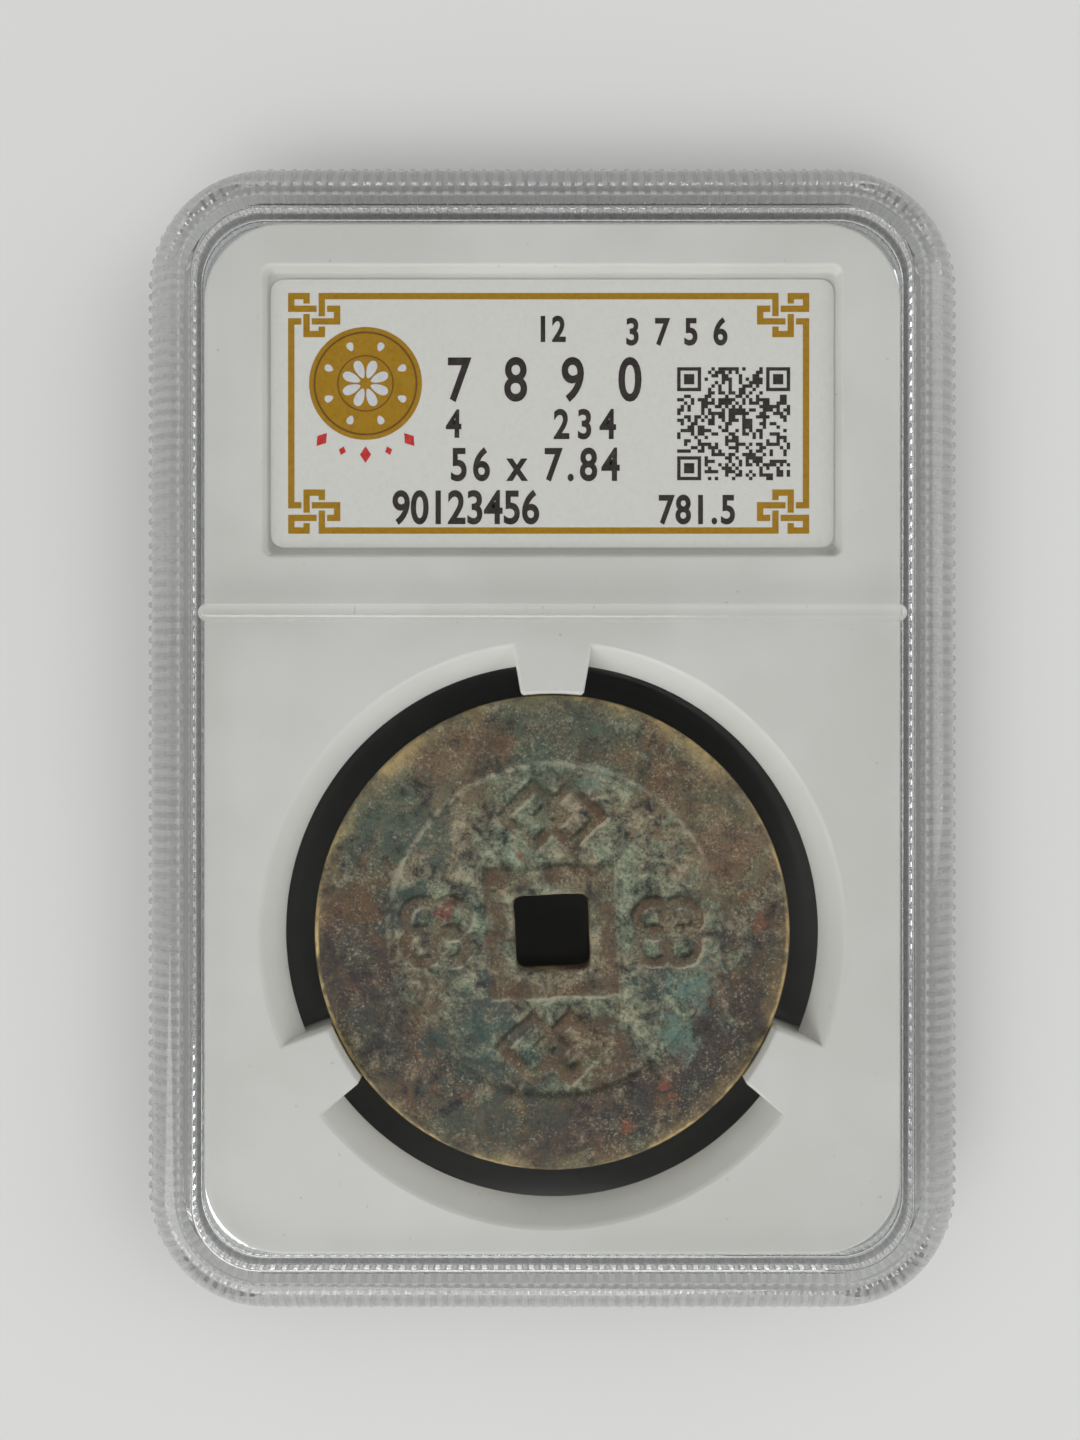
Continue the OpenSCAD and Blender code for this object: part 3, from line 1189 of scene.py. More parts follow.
    def parting(self, inner: list[int]) -> list[int]:
        """Adds the parting face with the tongue or the groove.

        Args:
            inner: the row where the cavity's wall meets the parting face.

        Returns:
            The row where the parting face meets the foot of the reeds.
        """
        slack = self.tongue_clear if self.half is Half.FRONT else 0.0
        reach = self.tongue_h + slack if self.half is Half.FRONT else -self.tongue_h
        near = self.tongue_inset + self.tongue_w + slack
        far = self.tongue_inset - slack
        places = [(near, self.seam), (near, reach), (far, reach), (far, self.seam), (0.0, self.seam)]
        rows = [inner] + [self.loop(inset, above) for inset, above in places]
        self.soup.stack(rows)
        return rows[-1]

    def build(self) -> bpy.types.Object:
        """Builds the shell as one closed mesh.

        Returns:
            The object.
        """
        window = self.half_t - self.window_sink
        ceiling = window - self.window_t
        rim, eave, nook = self.rim_round, self.window_round, self.cavity_round
        shoulder = self.shoulder_r
        outer = self.round_edge(shoulder, self.reed_top, shoulder, 180, -self.shoulder_steps)
        shares = 1 - ease(np.linspace(0, 1, len(outer)), self.milky_to, 1.0)
        # the top row of the shoulder is made milkiest: a painted highlight along the rim, broken into
        # dashes by the reeds' stripes
        shares[-1] = self.shoulder_highlight
        for row, share in zip(outer, shares):
            self.milky(row, share, self.roots)
        outer.append(self.loop(shoulder + self.shoulder_highlight_w, self.half_t))
        outer += self.round_edge(self.rim_w - rim, self.half_t - rim, rim, 90, -self.round_steps)
        outer += self.round_edge(self.rim_w + eave, window + eave, eave, 180, self.round_steps)
        self.soup.stack(outer)
        if self.half is Half.FRONT:
            self.soup.plate(outer[-1], self.crossbar())
        else:
            self.soup.plate(outer[-1])
        inner = self.round_edge(self.wall_t + nook, ceiling - nook, nook, 90, self.round_steps)
        self.soup.plate(inner[0])
        # the fillet rows of the cavity carry painted shade, a near-black tint for the dark surroundings
        # that the rim refracts
        dim = inner[1:]
        inner.append(self.loop(self.wall_t, ceiling - self.painted_shade_reach * nook))
        inner.append(self.loop(self.wall_t, self.seam))
        self.soup.stack(inner)
        self.reeds(self.parting(inner[-1]), outer[0])
        values = {key: np.zeros(len(self.soup.points)) for key in ("reed", "lap", "dim")}
        for row in dim:
            values["dim"][row] = 1.0
        for row, share, laps in self.reed_values:
            values["reed"][row] = share
            values["lap"][row] = laps
        return self.soup.build(f"{self.node}_clear", values=values)

    def dress(self, piece: bpy.types.Object) -> None:
        """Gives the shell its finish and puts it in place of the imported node."""
        front = self.half is Half.FRONT
        finish = ClearFinish(
            name=f"{self.node}_plastic",
            window=(self.wall.width - 2 * self.wall_t, self.wall.length - 2 * self.wall_t),
            window_at=self.height(self.half_t - self.window_sink),
            bar_y=self.bar_y,
            bar_painted_shade=self.bar_painted_shade if front else 1.0,
            window_r=self.corner_r - self.wall_t,
            strip_share=1.0 if front else self.strip_share,
        )
        dress(piece, finish.make(), self.body, self.slot)
        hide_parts(self.node)


@dataclass
class Insert:
    """White core of the case: label recess, tapered coin opening and three prongs with ledges."""

    corner_r: float = 5.9
    edge_round: float = 0.25
    hole_gap: float = 2.3
    hole_flare: float = 1.5
    hole_round: float = 0.2
    prongs: int = 3
    prong_tip_w: float = 4.8
    prong_base_w: float = 6.0
    prong_tip_r: float = 0.4
    ledge_reach: float = 0.5
    ledge_w: float = 3.6
    coin_clear: float = 0.08
    recess_w: float = 43.0
    recess_l: float = 21.35
    recess_r: float = 0.6
    recess_margin: float = 3.35
    recess_draft: float = 0.12
    recess_round: float = 0.22
    recess_foot: float = 0.15
    recess_bend: float = 0.04
    rest_gap: float = 0.02
    arc_steps: int = 60
    edge_steps: int = 16
    recess_steps: int = 10
    tip_steps: int = 6
    round_steps: int = 4
    root_tries: int = 6
    soup: Soup = field(default_factory=Soup)

    def __post_init__(self) -> None:
        """Takes the outer size, the coin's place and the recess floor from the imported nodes."""
        low, high = box_mm("insert")
        coin_low, coin_high = box_mm("coin")
        self.outline = Outline(high[0] - low[0], high[1] - low[1], self.corner_r)
        self.rear = low[2] + self.rest_gap
        self.front = high[2]
        self.seat = coin_low[2]
        self.coin_r = (coin_high[0] - coin_low[0]) / 2
        self.coin_y = (coin_high[1] + coin_low[1]) / 2
        self.recess_floor = box_mm("label")[0][2] - self.rest_gap / 2
        recess_y = high[1] - self.recess_margin - self.recess_l / 2
        self.recess = Outline(self.recess_w, self.recess_l, self.recess_r, (0.0, recess_y))

    def opening_radius(self, z: float) -> float:
        """Gives the radius of the coin opening at a height: narrowest half-way through."""
        middle = (self.rear + self.front) / 2
        share = abs(z - middle) / ((self.front - self.rear) / 2)
        return self.coin_r + self.hole_gap + self.hole_flare * share

    def prong(self, radius: float, shrink: float, ledge: bool) -> list[tuple[float, float]]:
        """Draws one prong from root to root.

        Args:
            radius: radius of the opening where the prong leaves it.
            shrink: how far the prong's edges are drawn in.
            ledge: whether the ledge under the coin is part of this row.

        Returns:
            Points as distance from the coin's middle and sideways from the prong's axis.
        """
        seat_r = self.coin_r + self.coin_clear
        tip_u = math.sqrt(seat_r ** 2 - (self.prong_tip_w / 2) ** 2)
        face_r = self.coin_r + self.hole_gap + self.hole_flare
        slope = (self.prong_base_w - self.prong_tip_w) / 2 / (face_r - tip_u)
        corner = self.prong_tip_r
        half = self.prong_tip_w / 2 - shrink
        root_u = radius
        for _ in range(self.root_tries):
            root_u = math.sqrt(radius ** 2 - (half + (root_u - tip_u) * slope) ** 2)
        root = (root_u, half + (root_u - tip_u) * slope)
        mid = (tip_u + shrink + corner, half - corner)
        turn = quarter(self.tip_steps)
        side = [(mid[0] - corner * math.sin(a), mid[1] + corner * math.cos(a)) for a in turn]
        step = self.ledge_w / 2
        brink = self.coin_r - self.ledge_reach if ledge else tip_u + shrink
        flat = [(tip_u + shrink, step), (brink, step), (brink, step / 2), (brink, 0.0)]
        right = [root] + side + flat
        if not ledge:
            right = [(max(u, math.sqrt((seat_r + shrink) ** 2 - v ** 2)), v) for u, v in right]
        return [(u, -v) for u, v in right] + [(u, v) for u, v in reversed(right[:-1])]

    def opening(self, z: float, widen: float = 0.0, ledge: bool = False) -> list[int]:
        """Adds one row of the coin opening.

        Args:
            z: height of the row.
            widen: how far the row is drawn back for the rounding of the edges.
            ledge: whether the prongs' ledges are part of the row.

        Returns:
            The numbers of its points.
        """
        radius = self.opening_radius(z) + widen
        plan = []
        share = 2 * math.pi / self.prongs
        points = self.prong(radius, widen, ledge)
        bare = math.atan2(points[-1][1], points[-1][0])
        for k in range(self.prongs):
            axis = math.pi / 2 + k * share
            u_way = (math.cos(axis), math.sin(axis))
            plan += [(u_way[0] * u - u_way[1] * v, u_way[1] * u + u_way[0] * v) for u, v in points]
            for step in range(1, self.arc_steps):
                angle = axis + bare + (share - 2 * bare) * step / self.arc_steps
                plan.append((radius * math.cos(angle), radius * math.sin(angle)))
        return self.soup.ring(np.array(plan) + np.array([0.0, self.coin_y]), z)

    def coin_opening(self) -> tuple[list[int], list[int]]:
        """Adds the walls of the coin opening.

        Returns:
            Its rows on the rear face and on the front face.
        """
        soft, middle = self.hole_round, (self.rear + self.front) / 2
        rise, back = 0.25 * soft, 0.4 * soft
        rows = [
            self.opening(self.rear, soft, True),
            self.opening(self.rear + rise, back, True),
            self.opening(self.rear + soft, 0.0, True),
            self.opening(self.seat, 0.0, True),
            self.opening(self.seat),
            self.opening(middle - soft),
            self.opening(middle, rise),
            self.opening(middle + soft),
            self.opening(self.front - soft),
            self.opening(self.front - rise, back),
            self.opening(self.front, soft),
        ]
        self.soup.stack(rows)
        return rows[0], rows[-1]

    def edge(self) -> tuple[list[int], list[int]]:
        """Adds the outer wall with its rounded edges.

        Returns:
            Its rows on the rear face and on the front face.
        """
        rows = []
        for base, way in ((self.rear, 1), (self.front, -1)):
            bend = []
            for angle in quarter(self.round_steps):
                inset = self.edge_round * (1 - math.sin(angle))
                z = base + way * self.edge_round * (1 - math.cos(angle))
                bend.append(self.soup.ring(self.outline.inset(inset, self.edge_steps), z))
            rows += bend if way > 0 else bend[::-1]
        self.soup.stack(rows)
        return rows[0], rows[-1]

    def label_recess(self) -> list[int]:
        """Adds the recess for the label.

        Returns:
            Its row on the front face.
        """
        floor, foot, bend = self.recess_floor, self.recess_foot, self.recess_bend
        places = [(foot, floor), (bend, floor + bend), (0.0, floor + foot)]
        lip = self.front - self.recess_round
        for angle in quarter(self.round_steps):
            out = self.recess_draft + self.recess_round * (1 - math.cos(angle))
            places.append((-out, lip + self.recess_round * math.sin(angle)))
        rows = [self.soup.ring(self.recess.inset(inset, self.recess_steps), z) for inset, z in places]
        self.soup.plate(rows[0])
        self.soup.stack(rows)
        return rows[-1]

    def build(self) -> bpy.types.Object:
        """Builds the insert as one closed mesh.

        Returns:
            The object.
        """
        edge_rear, edge_front = self.edge()
        hole_rear, hole_front = self.coin_opening()
        self.soup.plate(edge_rear, hole_rear)
        self.soup.plate(edge_front, hole_front, self.label_recess())
        return self.soup.build("insert_core")

    def dress(self, piece: bpy.types.Object) -> None:
        """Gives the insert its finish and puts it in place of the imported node."""
        dress(piece, InsertFinish().make(), "core", "white_insert")
        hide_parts("insert")


@dataclass(frozen=True)
class NumeralRow:
    """A row of printed numerals, placed by the middle of its foot on the card."""

    text: str
    x: float
    y: float
    size: float
    pitch: float


@dataclass
class Label:
    """Printed card: gold fret border, gold rosette, red lozenges, plain numerals and a code block."""

    corner_r: float = 1.0
    edge_round: float = 0.03
    film: float = 0.015
    sunk: float = 0.01
    shift_x: float = -0.27
    border_w: float = 39.2
    border_l: float = 18.1
    line_w: float = 0.47
    knot_x: tuple[float, ...] = (0.0, 1.15, 2.3, 3.45)
    knot_y: tuple[float, ...] = (0.0, 0.95, 1.9, 2.85)
    knot_gap: float = 0.16
    seal_at: tuple[float, float] = (-14.05, 2.25)
    seal_r: float = 4.24
    seal_rings: tuple[tuple[float, float], ...] = ((0.92, 0.89), (0.5, 0.48))
    seal_petals: int = 8
    petal_rows: tuple[Point, ...] = ((0.1, 0.43, 0.46), (0.62, 0.78, 0.34))
    petal_taper: float = 0.25
    marks: int = 5
    marks_r: float = 5.35
    marks_turn: float = 19.0
    mark_sizes: tuple[tuple[float, float], ...] = ((0.62, 0.42), (0.34, 0.28))
    code_at: tuple[float, float] = (13.65, -0.78)
    code_w: float = 8.5
    code_cells: int = 33
    code_seed: int = 41
    code_fill: float = 0.5
    code_eye: int = 7
    code_hair: float = 0.004
    numeral_narrow: float = 0.8
    numeral_weight: float = 0.08
    numeral_cap: float = 0.72
    slim_step: float = 0.6
    numeral_rows: tuple[NumeralRow, ...] = (
        NumeralRow("12", -0.1, 5.45, 1.9, 1.2),
        NumeralRow("3756", 9.35, 5.2, 2.0, 2.2),
        NumeralRow("7890", -0.6, 1.0, 3.3, 4.3),
        NumeralRow("4", -7.4, -1.75, 2.05, 1.0),
        NumeralRow("234", 2.45, -1.85, 2.2, 1.75),
        NumeralRow("56 x 7.84", -1.3, -5.0, 2.45, 1.68),
        NumeralRow("90123456", -6.5, -8.25, 2.5, 1.39),
        NumeralRow("781.5", 10.9, -8.25, 2.15, 1.3),
    )
    corner_steps: int = 8
    ring_steps: int = 144
    petal_steps: int = 28
    curve_steps: int = 5

    def __post_init__(self) -> None:
        """Takes the card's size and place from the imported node."""
        low, high = box_mm("label")
        self.middle = ((low[0] + high[0]) / 2, (low[1] + high[1]) / 2)
        self.low, self.top = low[2], high[2]
        self.outline = Outline(high[0] - low[0], high[1] - low[1], self.corner_r, self.middle)

    def spot(self, x: float, y: float) -> tuple[float, float]:
        """Turns a place on the card, from its middle, into a place on the slab."""
        return (self.middle[0] + x, self.middle[1] + y)

    def print_slab(self, soup: Soup, plan: np.ndarray, layer: int = 0) -> None:
        """Adds one thin printed shape, on the card or on a layer printed before it."""
        base = self.top + layer * self.film
        soup.slab(plan, base - self.sunk, base + self.film)

    def card(self) -> bpy.types.Object:
        """Builds the blank card.

        Returns:
            The object.
        """
        soup = Soup()
        soft = self.edge_round
        places = [(soft, self.low), (0.0, self.low + soft), (0.0, self.top - soft), (soft, self.top)]
        rows = [soup.ring(self.outline.inset(inset, self.corner_steps), z) for inset, z in places]
        soup.stack(rows)
        soup.plate(rows[0])
        soup.plate(rows[-1])
        return soup.build("label_card")

    def fret_corner(self) -> list[Rect]:
        """Draws one interlaced fret corner and its share of the border.

        Returns:
            Rectangles in the first quarter, from the outer corner inwards, half a border long.
        """
        x, y, wide, gap = self.knot_x, self.knot_y, self.line_w, self.knot_gap
        half_x, half_y = self.border_w / 2, self.border_l / 2
        cut = wide + gap
        return [
            (x[2], y[0], half_x, y[0] + wide),
            (x[2], y[0], x[2] + wide, y[2] - gap),
            (x[2], y[2] + cut, x[2] + wide, y[3] + wide),
            (x[1], y[3], x[2] + wide, y[3] + wide),
            (x[1], y[1] + cut, x[1] + wide, y[3] + wide),
            (x[1], y[0], x[1] + wide, y[1] - gap),
            (x[0], y[0], x[1] + wide, y[0] + wide),
            (x[0], y[0], x[0] + wide, y[1] + wide),
            (x[0], y[1], x[2] - gap, y[1] + wide),
            (x[2] + cut, y[1], x[3] + wide, y[1] + wide),
            (x[3], y[1], x[3] + wide, y[2] + wide),
            (x[1] + cut, y[2], x[3] + wide, y[2] + wide),
            (x[0], y[2], x[1] - gap, y[2] + wide),
            (x[0], y[2], x[0] + wide, half_y),
        ]

    def border(self) -> bpy.types.Object:
        """Builds the gold border with a fret corner at each end.

        Returns:
            The object.
        """
        soup = Soup()
        rects = []
        for way_x in (-1, 1):
            for way_y in (-1, 1):
                for x0, y0, x1, y1 in self.fret_corner():
                    ends_x = sorted(way_x * (self.border_w / 2 - v) + self.shift_x for v in (x0, x1))
                    ends_y = sorted(way_y * (self.border_l / 2 - v) for v in (y0, y1))
                    rects.append((ends_x[0], ends_y[0], ends_x[1], ends_y[1]))
        self.merged(soup, rects)
        return soup.build("label_fret_border")

    def merged(self, soup: Soup, rects: list[Rect]) -> None:
        """Adds rectangles as one printed film, with what they share drawn once.

        Args:
            soup: where the film goes.
            rects: the rectangles on the card.
        """
        xs = np.unique(np.round([v for r in rects for v in (r[0], r[2])], 4))
        ys = np.unique(np.round([v for r in rects for v in (r[1], r[3])], 4))
        mid_x, mid_y = (xs[1:] + xs[:-1]) / 2, (ys[1:] + ys[:-1]) / 2
        inked = np.zeros((len(mid_x) + 2, len(mid_y) + 2), dtype=bool)
        for x0, y0, x1, y1 in rects:
            across = (mid_x > x0) & (mid_x < x1)
            upward = (mid_y > y0) & (mid_y < y1)
            inked[1:-1, 1:-1] |= across[:, None] & upward[None, :]
        levels = (self.top - self.sunk, self.top + self.film)
        numbers: dict[tuple[int, int, int], int] = {}

        def corner(i: int, j: int, level: int) -> int:
            """Gives the number of a corner, which is made at its first use."""
            if (i, j, level) not in numbers:
                numbers[(i, j, level)] = len(soup.points)
                soup.points.append((*self.spot(xs[i], ys[j]), levels[level]))
            return numbers[(i, j, level)]

        for i in range(len(mid_x)):
            for j in range(len(mid_y)):
                if not inked[i + 1, j + 1]:
                    continue
                square = ((i, j), (i + 1, j), (i + 1, j + 1), (i, j + 1))
                for level in (0, 1):
                    soup.face([corner(*at, level) for at in square], flat=True)
                beside = ((0, -1), (1, 0), (0, 1), (-1, 0))
                for k, (step_x, step_y) in enumerate(beside):
                    if not inked[i + 1 + step_x, j + 1 + step_y]:
                        first, second = square[k], square[(k + 1) % 4]
                        ends = ((first, 0), (second, 0), (second, 1), (first, 1))
                        soup.face([corner(*at, level) for at, level in ends], flat=True)

    def about_seal(self, axis: float, along: Any, across: Any) -> tuple[Any, Any]:
        """Finds places on the slab from their places about a direction out of the seal's middle.

        Args:
            axis: the direction, as an angle.
            along: how far they lie along it.
            across: how far they lie to its left.

        Returns:
            Their places across and up the slab.
        """
        x = self.seal_at[0] + along * math.cos(axis) - across * math.sin(axis)
        y = self.seal_at[1] + along * math.sin(axis) + across * math.cos(axis)
        return self.spot(x, y)

    def seal_plan(self, radius: float) -> np.ndarray:
        """Draws a round about the seal's middle."""
        turn = np.linspace(0, 2 * math.pi, self.ring_steps, endpoint=False)
        return np.stack(self.about_seal(0.0, radius * np.cos(turn), radius * np.sin(turn)), axis=1)

    def seal(self) -> list[bpy.types.Object]:
        """Builds the round gold seal with its fine ring and light rosette.

        Returns:
            The gold disc, the dark rings and the light petals.
        """
        disc, rings, petals = Soup(), Soup(), Soup()
        self.print_slab(disc, self.seal_plan(self.seal_r))
        low, high = self.top + self.film - self.sunk, self.top + 2 * self.film
        for outer, inner in self.seal_rings:
            rows = []
            for share, z in ((outer, low), (outer, high), (inner, high), (inner, low), (outer, low)):
                rows.append(rings.ring(self.seal_plan(share * self.seal_r), z))
            rings.stack(rows)
        turn = np.linspace(0, 2 * math.pi, self.petal_steps, endpoint=False)
        taper = 1 - self.petal_taper + self.petal_taper * np.cos(turn)
        for k in range(self.seal_petals):
            axis = 2 * math.pi * (k + 0.5) / self.seal_petals
            for start, end, width in self.petal_rows:
                mid, long = (start + end) / 2 * self.seal_r, (end - start) / 2 * self.seal_r
                places = self.about_seal(axis, mid + long * np.cos(turn), width * np.sin(turn) * taper)
                self.print_slab(petals, np.stack(places, axis=1), 1)
        made = ((disc, "label_seal"), (rings, "label_seal_rings"), (petals, "label_seal_petals"))
        return [soup.build(name) for soup, name in made]

    def red_marks(self) -> bpy.types.Object:
        """Builds the arc of red lozenges under the seal.

        Returns:
            The object.
        """
        soup = Soup()
        for k in range(self.marks):
            axis = math.radians(-90 + self.marks_turn * (k - (self.marks - 1) / 2))
            long, wide = self.mark_sizes[k % 2]
            tips = ((long, 0.0), (0.0, wide), (-long, 0.0), (0.0, -wide))
            plan = [self.about_seal(axis, self.marks_r + along, across) for along, across in tips]
            self.print_slab(soup, np.array(plan))
        return soup.build("label_red_marks")

    def code_block(self) -> bpy.types.Object:
        """Builds the block of dark cells: three framed corners and an even scatter that encodes nothing.

        Returns:
            The object.
        """
        soup = Soup()
        count = self.code_cells
        draw = np.random.default_rng(self.code_seed)
        dark = draw.random((count, count)) < self.code_fill
        eye = self.code_eye
        frame_x, frame_y = np.meshgrid(np.arange(eye), np.arange(eye))
        away = np.maximum(abs(frame_x - eye // 2), abs(frame_y - eye // 2))
        for column, row in ((0, 0), (0, count - eye), (count - eye, count - eye)):
            c0, r0 = max(0, column - 1), max(0, row - 1)
            dark[c0:column + eye + 1, r0:row + eye + 1] = False
            dark[column:column + eye, row:row + eye] = away != 2
        cell = self.code_w / count
        start = (self.code_at[0] - self.code_w / 2, self.code_at[1] - self.code_w / 2)
        for row in range(count):
            column = 0
            while column < count:
                run = column
                while run < count and dark[run, row]:
                    run += 1
                if run > column:
                    x0, x1 = start[0] + column * cell, start[0] + run * cell
                    y0, y1 = start[1] + row * cell + self.code_hair, start[1] + (row + 1) * cell
                    plan = [self.spot(x0, y0), self.spot(x1, y0), self.spot(x1, y1), self.spot(x0, y1)]
                    self.print_slab(soup, np.array(plan))
                column = run + 1
        return soup.build("label_code_block")

    def numerals(self) -> bpy.types.Object:
        """Builds the rows of plain numerals.

        Returns:
            The object.
        """
        work = bmesh.new()
        for row in self.numeral_rows:
            steps = [row.pitch * (self.slim_step if sign in ". " else 1.0) for sign in row.text]
            along = row.x - sum(steps) / 2
            for sign, step in zip(row.text, steps):
                if sign != " ":
                    self.sign(work, sign, self.spot(along + step / 2, row.y), row.size)
                along += step
        bmesh.ops.remove_doubles(work, verts=work.verts, dist=PRINT_WELD)
        mesh = bpy.data.meshes.new("label_numerals")
        work.to_mesh(mesh)
        work.free()
        piece = bpy.data.objects.new("label_numerals", mesh)
        bpy.context.scene.collection.objects.link(piece)
        return piece

    def sign(self, work: bmesh.types.BMesh, sign: str, at: tuple[float, float], size: float) -> None:
        """Adds one printed sign.

        Args:
            work: the mesh that it goes to.
            sign: the numeral.
            at: the middle of its foot on the slab.
            size: its height in millimetres.
        """
        curve = bpy.data.curves.new("numeral", "FONT")
        curve.body = sign
        curve.align_x = "CENTER"
        curve.size = size * MM / self.numeral_cap
        curve.offset = self.numeral_weight * MM
        curve.extrude = (self.film + self.sunk) / 2 * MM
        curve.resolution_u = self.curve_steps
        holder = bpy.data.objects.new("numeral", curve)
        bpy.context.scene.collection.objects.link(holder)
        bpy.context.view_layer.update()
        seen = holder.evaluated_get(bpy.context.evaluated_depsgraph_get())
        mesh = bpy.data.meshes.new_from_object(seen)
        lift = self.top + (self.film - self.sunk) / 2
        for vertex in mesh.vertices:
            vertex.co.x = vertex.co.x * self.numeral_narrow + at[0] * MM
            vertex.co.y += at[1] * MM
            vertex.co.z += lift * MM
        work.from_mesh(mesh)
        bpy.data.objects.remove(holder)
        bpy.data.curves.remove(curve)
        bpy.data.meshes.remove(mesh)

    def build(self) -> dict[str, list[bpy.types.Object]]:
        """Builds the card and its print.

        Returns:
            The pieces by the finish that they take.
        """
        disc, rings, petals = self.seal()
        return {
            "card": [self.card()],
            "gold": [self.border(), disc],
            "brown": [rings],
            "paper": [petals],
            "red": [self.red_marks()],
            "ink": [self.numerals(), self.code_block()],
        }

    def dress(self, pieces: dict[str, list[bpy.types.Object]]) -> None:
        """Gives the card and its print their finishes.

        Args:
            pieces: the pieces by the finish that they take.
        """
        finishes = {
            "card": CardFinish(),
            "gold": PrintFinish("print_gold", tone(170, 129, 18), tone(154, 112, 14)),
            "brown": PrintFinish("print_brown", tone(108, 72, 26), tone(126, 86, 34)),
            "paper": PrintFinish("print_paper", tone(218, 219, 221), tone(206, 206, 206)),
            "red": PrintFinish("print_red", tone(196, 46, 44), tone(212, 78, 72)),
            "ink": PrintFinish("print_ink", tone(44, 38, 36), tone(64, 58, 54)),
        }
        for key, group in pieces.items():
            material = finishes[key].make()
            for piece in group:
                dress(piece, material, "core", "label_card")
        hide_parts("label")


@dataclass
class Coin:
    """Cast coin with broad rims, a sunk field, a square hole and worn relief in four places."""

    rim_w: float = 5.4
    field_depth: float = 0.35
    field_shift: tuple[float, float] = (0.15, 0.22)
    hole: float = 5.7
    hole_turn: float = 2.5
    hole_power: float = 9.0
    hole_uneven: float = 0.03
    hole_humps: float = 1.7
    hole_layer: float = 3.1
    hole_rim: float = 2.1
    rim_soft: float = 0.3
    hole_soft: float = 0.22
    least_depth: float = 0.04
    swell_depth: float = 0.025
    grain_depth: float = 0.018
    edge_round: float = 0.32
    lip_round: float = 0.22
    stroke_w: float = 0.8
    stroke_soft: float = 0.16
    motif_at: float = 8.75
    lozenge_r: float = 2.3
    lozenge_at: float = 1.4
    petal_r: float = 1.25
    petal_at: float = 1.5
    slope_seen: tuple[float, float] = (0.1, 0.45)
    lean: float = 0.12
    # directions, half-widths and strengths of the painted highlight along the field's edge
    lip_lobes: tuple[Lobe, ...] = (
        (18, 48, 0.85),
        (100, 34, 0.6),
        (-152, 24, 0.7),
        (165, 26, 0.5),
    )
    bright_lobes: tuple[Lobe, ...] = (
        (-165, 40, 0.7),
        (-5, 35, 0.7),
        (-130, 22, 0.6),
        (-50, 30, 0.6),
        (62, 26, 0.4),
    )
    gilt_lobes: tuple[Lobe, ...] = (
        (138, 26, 1.0),
        (52, 24, 0.8),
        (-40, 22, 0.4),
        (-100, 30, 0.5),
    )
    across: int = 560
    front_rings: int = 112
    rear_rings: int = 34
    soup: Soup = field(default_factory=Soup)

    def __post_init__(self) -> None:
        """Takes the coin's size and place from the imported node."""
        low, high = box_mm("coin")
        self.radius = (high[0] - low[0]) / 2
        self.middle = np.array([(low[0] + high[0]) / 2, (low[1] + high[1]) / 2])
        self.low, self.top = low[2], high[2]

    def hole_reach(self, angles: np.ndarray) -> np.ndarray:
        """Gives how far the edge of the square hole lies from the coin's middle.

        Args:
            angles: directions from the middle.

        Returns:
            The distances.
        """
        turned = angles - math.radians(self.hole_turn)
        power, humps = self.hole_power, self.hole_humps
        square = (np.abs(np.cos(turned)) ** power + np.abs(np.sin(turned)) ** power) ** (-1 / power)
        places = [(math.cos(a) * humps, math.sin(a) * humps, self.hole_layer) for a in angles]
        uneven = np.array([noise.noise(place) for place in places])
        return self.hole / 2 * square * (1 + self.hole_uneven * uneven)

    def hole_away(self, x: np.ndarray, y: np.ndarray) -> np.ndarray:
        """Gives how far points lie from the coin's middle, measured square to the sides of the hole."""
        turn = math.radians(self.hole_turn)
        across, up = x * math.cos(turn) + y * math.sin(turn), y * math.cos(turn) - x * math.sin(turn)
        return np.maximum(abs(across), abs(up))

    def strokes(self, x: np.ndarray, y: np.ndarray) -> np.ndarray:
        """Measures how far points lie from the strokes of the four relief motifs.

        Args:
            x: places across the coin, from its middle.
            y: places up the coin, from its middle.

        Returns:
            The distances to the nearest stroke's middle line.
        """
        nearest = np.full(x.shape, FAR)
        for turn in range(4):
            angle = turn * math.pi / 2
            out = x * math.cos(angle) + y * math.sin(angle) - self.motif_at
            side = -x * math.sin(angle) + y * math.cos(angle)
            shape = self.lozenges(side, out) if turn % 2 else self.blossom(side, out)
            nearest = np.minimum(nearest, shape)
        return nearest

    def lozenges(self, side: np.ndarray, out: np.ndarray) -> np.ndarray:
        """Measures the distance to a pair of interlocked lozenges."""
        away = [abs(side - middle) + abs(out) for middle in (-self.lozenge_at, self.lozenge_at)]
        found = [abs(reach - self.lozenge_r) / math.sqrt(2) for reach in away]
        return np.minimum(found[0], found[1])

    def blossom(self, side: np.ndarray, out: np.ndarray) -> np.ndarray:
        """Measures the distance to a blossom of four round petals."""
        nearest = np.full(side.shape, FAR)
        for petal in range(4):
            angle = math.pi * (petal / 2 + 0.25)
            middle = (self.petal_at * math.cos(angle), self.petal_at * math.sin(angle))
            away = np.hypot(side - middle[0], out - middle[1])
            nearest = np.minimum(nearest, abs(away - self.petal_r))
        return nearest

    @staticmethod
    def rumple(x: np.ndarray, y: np.ndarray, size: float, layer: float, steps: int) -> np.ndarray:
        """Gives smooth uneven values about 0.

        Args:
            x: places across the coin.
            y: places up the coin.
            size: size of the humps in millimetres.
            layer: number that sets one such surface apart from the others.
            steps: number of finer layers.

        Returns:
            The values.
        """
        fade, finer = 0.9, 2.1
        places = [(a / size, b / size, layer) for a, b in zip(x, y)]
        return np.array([noise.fractal(place, fade, finer, steps) for place in places])

